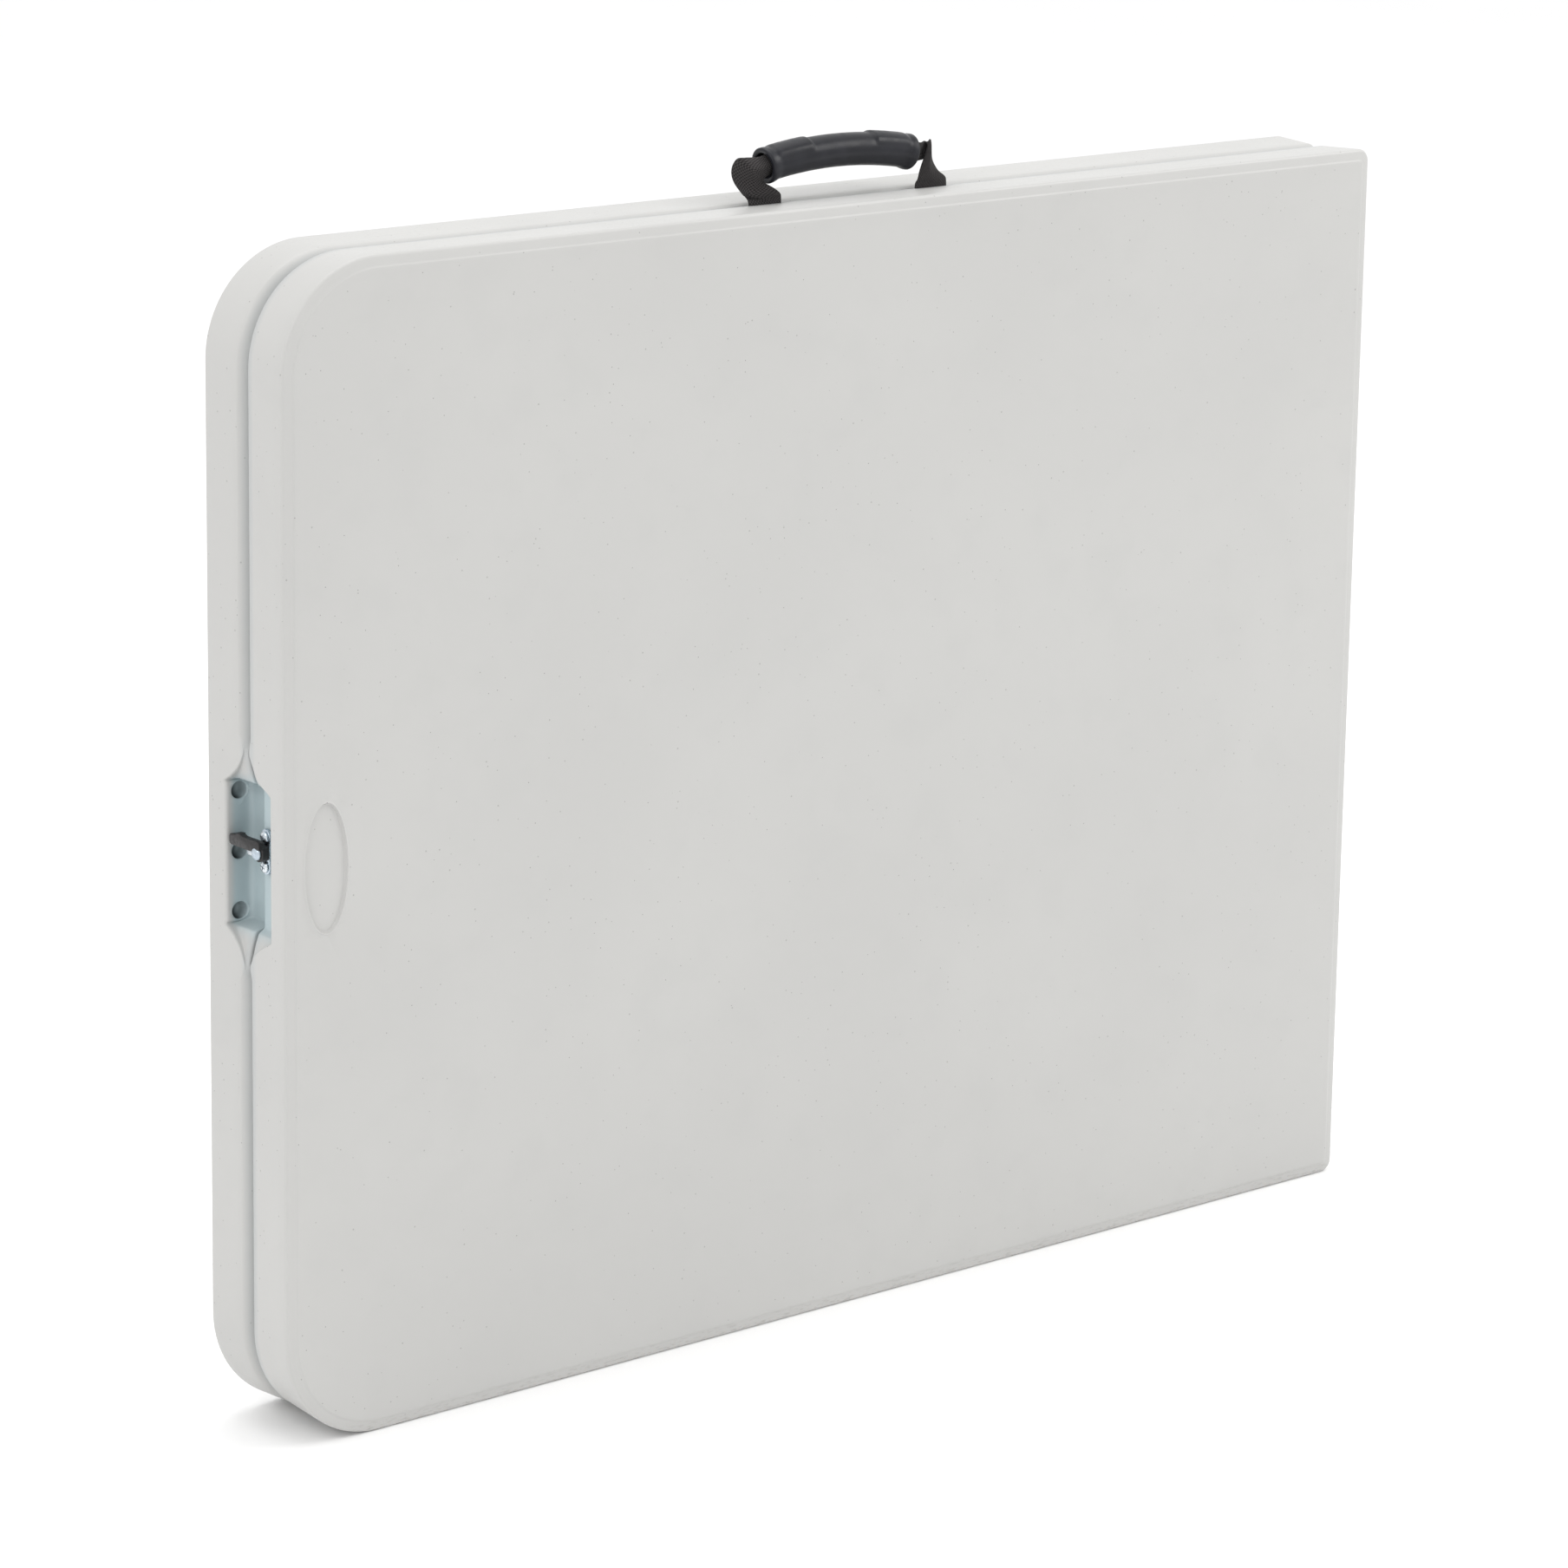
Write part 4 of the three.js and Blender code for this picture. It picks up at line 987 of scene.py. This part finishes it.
def screw(node, name, body):
    """A pan-head screw with a cross recess."""
    low, high = box_mm(node)
    cy, cz = (low.y + high.y) / 2, (low.z + high.z) / 2
    radius = (high.z - low.z) / 2
    profile = [(low.x, 0), (low.x, radius * 0.55), (low.x + 0.35, radius * 0.85), (low.x + 1.0, radius)]
    profile += [(low.x + 2.0, radius), (low.x + 2.1, radius - 0.3), (low.x + 2.1, 1.7)]
    profile += [(high.x - 1, 1.7), (high.x, 0)]
    made = lathe(name, "x", (0, cy, cz), profile, 40)
    arms = []
    for turn in (math.radians(20), math.radians(110)):
        along = np.array([math.cos(turn), math.sin(turn)]) * radius * 0.55
        across = np.array([-math.sin(turn), math.cos(turn)]) * 0.42
        corners = [along * u + across * v for u, v in ((-1, -1), (1, -1), (1, 1), (-1, 1))]
        arms.append(loft("cutter", [[(x, cy + p[0], cz + p[1]) for p in corners]
                                    for x in (low.x - 0.5, low.x + 1.0)]))
    cut(made, arms)
    return place(made, body, bright_zinc, "zinc", node)


screw("latch_lower_screw", "latch_lower_screw_head", "front_half")
screw("latch_upper_screw", "latch_upper_screw_head", "front_half")
rivet("latch_keeper_pin", "rear_half", "x", "latch_keeper")

# ---- carrying handle ----
GRIP_HALF = 62
GRIP_SAG = 6
GRIP_RADIUS = 10.9
GRIP_BORE = 8.4
grip_arc = (GRIP_HALF**2 + GRIP_SAG**2) / (2 * GRIP_SAG)
grip_x = (grip_low.x + grip_high.x) / 2 / MM
grip_z = grip_high.z / MM - GRIP_RADIUS


def grip_frame(along):
    turn = along / grip_arc
    centre = Vector((grip_x + grip_arc * math.sin(turn), 0, grip_z - grip_arc * (1 - math.cos(turn))))
    return centre, Vector((math.sin(turn), 0, math.cos(turn))), Vector((0, 1, 0))


def collar_rise(along, turn):
    """Raised pads on top of the grip near both ends, fading out down the sides."""
    distance = GRIP_HALF - abs(along)
    pad = smoothstep((distance - 5) / 4) * smoothstep((37 - distance) / 2.2)
    return 1.2 * pad * smoothstep((math.cos(turn) - 0.25) / 0.5)


def grip_piece():
    segments = 56

    def ring(along, radius, pads=False):
        centre, up, side_way = grip_frame(along)
        points = []
        for k in range(segments):
            turn = 2 * math.pi * k / segments
            size = radius + (collar_rise(along, turn) if pads else 0)
            points.append(centre + size * (math.cos(turn) * up + math.sin(turn) * side_way))
        return points

    rings = []
    for low, high, count in ((-GRIP_HALF + 0.8, -GRIP_HALF + 12, 12), (-50, -22, 24), (-20, 20, 18),
                             (22, 50, 24), (GRIP_HALF - 12, GRIP_HALF - 0.8, 12)):
        for along in map(float, np.linspace(low, high, count)):
            swell = 1.1 * smoothstep((9 - (GRIP_HALF - abs(along))) / 7)
            rings.append(ring(along, GRIP_RADIUS + swell, True))
    mouth = [(0.25, GRIP_RADIUS + 0.8), (0, GRIP_RADIUS + 0.1), (0, GRIP_BORE + 0.9),
             (0.5, GRIP_BORE + 0.2), (1.6, GRIP_BORE)]
    rings += [ring(GRIP_HALF - offset, radius) for offset, radius in mouth]
    rings += [ring(float(along), GRIP_BORE) for along in np.linspace(GRIP_HALF - 4, -GRIP_HALF + 4, 16)]
    rings += [ring(-GRIP_HALF + offset, radius) for offset, radius in reversed(mouth)]
    return loft("handle_moulded_grip", rings, close=True, smooth=50)


place(grip_piece(), "handle", grip_plastic, "grip", "handle_grip")


def strap(name, keys, columns=22, between=8, crease=0.0):
    """Webbing through keyed rows: (near edge, middle, far edge), with z in millimetres above the top."""
    rows = []
    keys = [[np.array(p, float) for p in row] for row in keys]
    for i in range(len(keys) - 1):
        around = [keys[max(i - 1, 0)], keys[i], keys[i + 1], keys[min(i + 2, len(keys) - 1)]]
        for k in range(between):
            t = k / between
            row = []
            for c in range(3):
                p0, p1, p2, p3 = (a[c] for a in around)
                row.append(0.5 * (2 * p1 + (p2 - p0) * t + (2 * p0 - 5 * p1 + 4 * p2 - p3) * t * t
                                  + (3 * p1 - p0 - 3 * p2 + p3) * t**3))
            rows.append(row)
    rows.append(keys[-1])
    grid = []
    for a, m, b in rows:
        line = []
        for v in np.linspace(0, 1, columns):
            curved = a * (1 - v) * (1 - 2 * v) + 4 * m * v * (1 - v) + b * v * (2 * v - 1)
            folded = a + (m - a) * 2 * v if v < 0.5 else m + (b - m) * (2 * v - 1)
            line.append(curved + (folded - curved) * crease)
        grid.append(line)
    grid = np.array(grid)
    grid[:, :, 2] += WIDTH
    along = np.gradient(grid, axis=0)
    across = np.gradient(grid, axis=1)
    normal = np.cross(along, across)
    normal /= np.linalg.norm(normal, axis=2, keepdims=True) + 1e-9
    for i in range(1, len(normal)):
        flip = np.sum(normal[i] * normal[i - 1], axis=1) < 0
        normal[i][flip] *= -1
    edge = np.sin(np.linspace(0, math.pi, columns)) ** 0.3
    edge = (0.35 + 0.65 * edge)[None, :, None]
    upper = grid + normal * STRAP_THICK / 2 * edge
    lower = grid - normal * STRAP_THICK / 2 * edge
    rings = [[*map(tuple, upper[i]), *map(tuple, lower[i][::-1])] for i in range(len(grid))]
    made = loft(name, rings, smooth=70)
    lay_strap_map(made, grid)
    return made


def lay_strap_map(obj, grid):
    """A map along and across the strap, in metres, from the nearest point of its middle surface."""
    lengths = np.concatenate([[0], np.cumsum(np.linalg.norm(np.diff(grid.mean(axis=1), axis=0), axis=1))])
    widths = np.linspace(-STRAP_HALF, STRAP_HALF, grid.shape[1])
    flat = grid.reshape(-1, 3)
    layout = obj.data.uv_layers.new(name="strap")
    co = np.array([v.co for v in obj.data.vertices]) / MM
    nearest = [int(np.argmin(((flat - p) ** 2).sum(axis=1))) for p in co]
    for loop in obj.data.loops:
        row, column = divmod(nearest[loop.vertex_index], grid.shape[1])
        layout.data[loop.index].uv = (widths[column] * MM, lengths[row] * MM)


def strap_tail(base, turn):
    """The rows of a strap that stay between the rims."""
    return [[(base + end * turn * STRAP_HALF, 0, z) for end in (1, 0, -1)] for z in (-24, -10)]


left_base, right_base = STRAPS
LEFT_STRAP = [
    *strap_tail(left_base, 1),
    [(left_base + STRAP_HALF, 0, 0), (left_base, 0, 0), (left_base - STRAP_HALF, 0.2, 0)],
    [(-45, -0.6, 4), (-70, -1, 4), (-71.4, 5, 4.5)],
    [(-51, -1.2, 8), (-69.6, -2, 9.5), (-74, 10, 11)],
    [(-57.5, -2, 11), (-69.6, -3.5, 14.5), (-75.5, 11.5, 17)],
    [(-60.6, -2.8, 12.6), (-71.4, -5, 19), (-77.6, 8, 23.4)],
    [(-61, -3.2, 13.2), (-72, -5.6, 21.8), (-78.6, 2, 28.6)],
    [(-61, -3.2, 13.8), (-68.5, -6, 22.4), (-74.5, -1, 29.2)],
    [(-60.4, -2.5, 14.8), (-62.2, -6.2, 22.6), (-64, -1, 28.8)],
    [(-55.5, -1.5, 16.2), (-55.5, -6, 23.6), (-56, -0.5, 30.4)],
    [(-44.5, 0, 18.2), (-44.5, -5, 25.2), (-44.5, 0, 32.2)],
]
RIGHT_STRAP = [
    *strap_tail(right_base, -1),
    [(right_base - STRAP_HALF, 0, 0), (right_base, 0, 0), (right_base + STRAP_HALF, 0, 0)],
    [(72.6, -0.6, 3.6), (84.6, -0.8, 3.4), (97, 0.4, 3.8)],
    [(73.6, -1.2, 9), (81.5, -2, 8.6), (90.4, 0, 8.4)],
    [(75, -2.2, 15), (80, -3.4, 14.6), (86, 0.4, 15)],
    [(77, -3, 21), (80.5, -4, 21), (83.6, -0.6, 21.8)],
    [(78.6, -2.8, 26.4), (80.6, -3, 28.6), (82.6, -0.6, 29.4)],
    [(78.8, 0.6, 28.4), (81.4, 2, 24), (82.6, 2.2, 17.8)],
    [(73, -2.6, 28.2), (74, 0.5, 22), (73.6, 1.2, 15.6)],
    [(66.4, -2.8, 29.6), (66.6, -5, 22.6), (66.4, 0, 15.8)],
    [(54, 0, 31.8), (54, -4.6, 24.8), (54, 0, 17.6)],
]
BAND = [[(x, y, z) for y, z in ((0, drop + 21.4), (-4, drop + 28.5), (0, drop + 35.8))]
        for x, drop in ((-44, -3.4), (-22, -1), (3, 0), (28, -1), (53, -3.9))]

for name, keys, nodes in (("left_webbing", LEFT_STRAP, ("handle_left_leg", "left_strap_anchor")),
                          ("right_webbing", RIGHT_STRAP, ("handle_right_leg", "right_strap_anchor"))):
    piece = place(strap(name, keys, crease=0.85), None, webbing, "webbing", *nodes)
    middle = sum(np.array(p) for p in keys[2]) / 3
    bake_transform(piece)
band = [[(x, y, z - 0.5) for x, y, z in row] for row in BAND]
place(strap("handle_inner_webbing", band, columns=12, between=5), "handle", webbing, "webbing", "handle_band")

# ---- stage ----
floor_mesh = bpy.data.meshes.new("floor")
FLOOR_HALF = 40
floor_corners = [(u * FLOOR_HALF, v * FLOOR_HALF, 0) for u, v in ((-1, -1), (1, -1), (1, 1), (-1, 1))]
floor_mesh.from_pydata(floor_corners, [], [(0, 1, 2, 3)])
floor = bpy.data.objects.new("floor", floor_mesh)
bpy.context.scene.collection.objects.link(floor)
floor_look = Finish("pale_floor", (0.93, 0.93, 0.93), 0.7)
floor_look.tint(floor_look.patches(400, 2, 0.4, 0.7), (0.95, 0.95, 0.95), 0.5)
floor.data.materials.append(floor_look.done())

scene = bpy.context.scene
world = bpy.data.worlds.new("studio")
world.use_nodes = True
world.node_tree.nodes["Background"].inputs["Color"].default_value = (1.0, 1.0, 1.0, 1)
world.node_tree.nodes["Background"].inputs["Strength"].default_value = 1.06
scene.world = world
scene.view_settings.view_transform = "Standard"

middle = (0, 0, WIDTH / 2 * MM)
SOFTBOXES = [  # name, place, aim, size, power and colour
    ("key", (2.4, -1.7, 2.5), (0.25, 0, 0.5), (1.8, 1.5), 34, (1.0, 0.99, 0.975)),
    ("overhead", (0, 0.6, 3.6), middle, (3.2, 2.4), 34, (1, 1, 1)),
    ("left_fill", (-2.8, -0.7, 2.5), middle, (1.6, 1.6), 19, (1.0, 0.985, 0.975)),
]
for name, place_at, aim, size, power, colour in SOFTBOXES:
    light = bpy.data.lights.new(name, "AREA")
    light.shape = "RECTANGLE"
    light.size, light.size_y = size
    light.energy = power
    light.color = colour
    box_light = bpy.data.objects.new(name, light)
    box_light.location = place_at
    box_light.rotation_mode = "QUATERNION"
    box_light.rotation_quaternion = (Vector(aim) - Vector(place_at)).to_track_quat("-Z", "Y")
    scene.collection.objects.link(box_light)

# ---- camera ----
AZIMUTH, ELEVATION, ROLL = (math.radians(a) for a in (-39.479, 12.117, 0.862))
CAMERA_AT = (-2.21593, -2.64587, 1.25255)
LENS, SENSOR, SHIFT_Y = 122.46, 36, -0.15
camera = bpy.data.cameras.new("camera")
camera.sensor_width = SENSOR
camera.lens = LENS
camera.shift_y = SHIFT_Y
camera.clip_end = 100
viewer = bpy.data.objects.new("camera", camera)
right = Vector((math.cos(AZIMUTH), math.sin(AZIMUTH), 0))
back = Vector((math.sin(AZIMUTH) * math.cos(ELEVATION), -math.cos(AZIMUTH) * math.cos(ELEVATION),
               math.sin(ELEVATION)))
up = back.cross(right)
turned_right = math.cos(ROLL) * right + math.sin(ROLL) * up
turned_up = math.cos(ROLL) * up - math.sin(ROLL) * right
basis = Matrix((turned_right, turned_up, back)).transposed().to_4x4()
viewer.matrix_world = Matrix.Translation(CAMERA_AT) @ basis
scene.collection.objects.link(viewer)
scene.camera = viewer
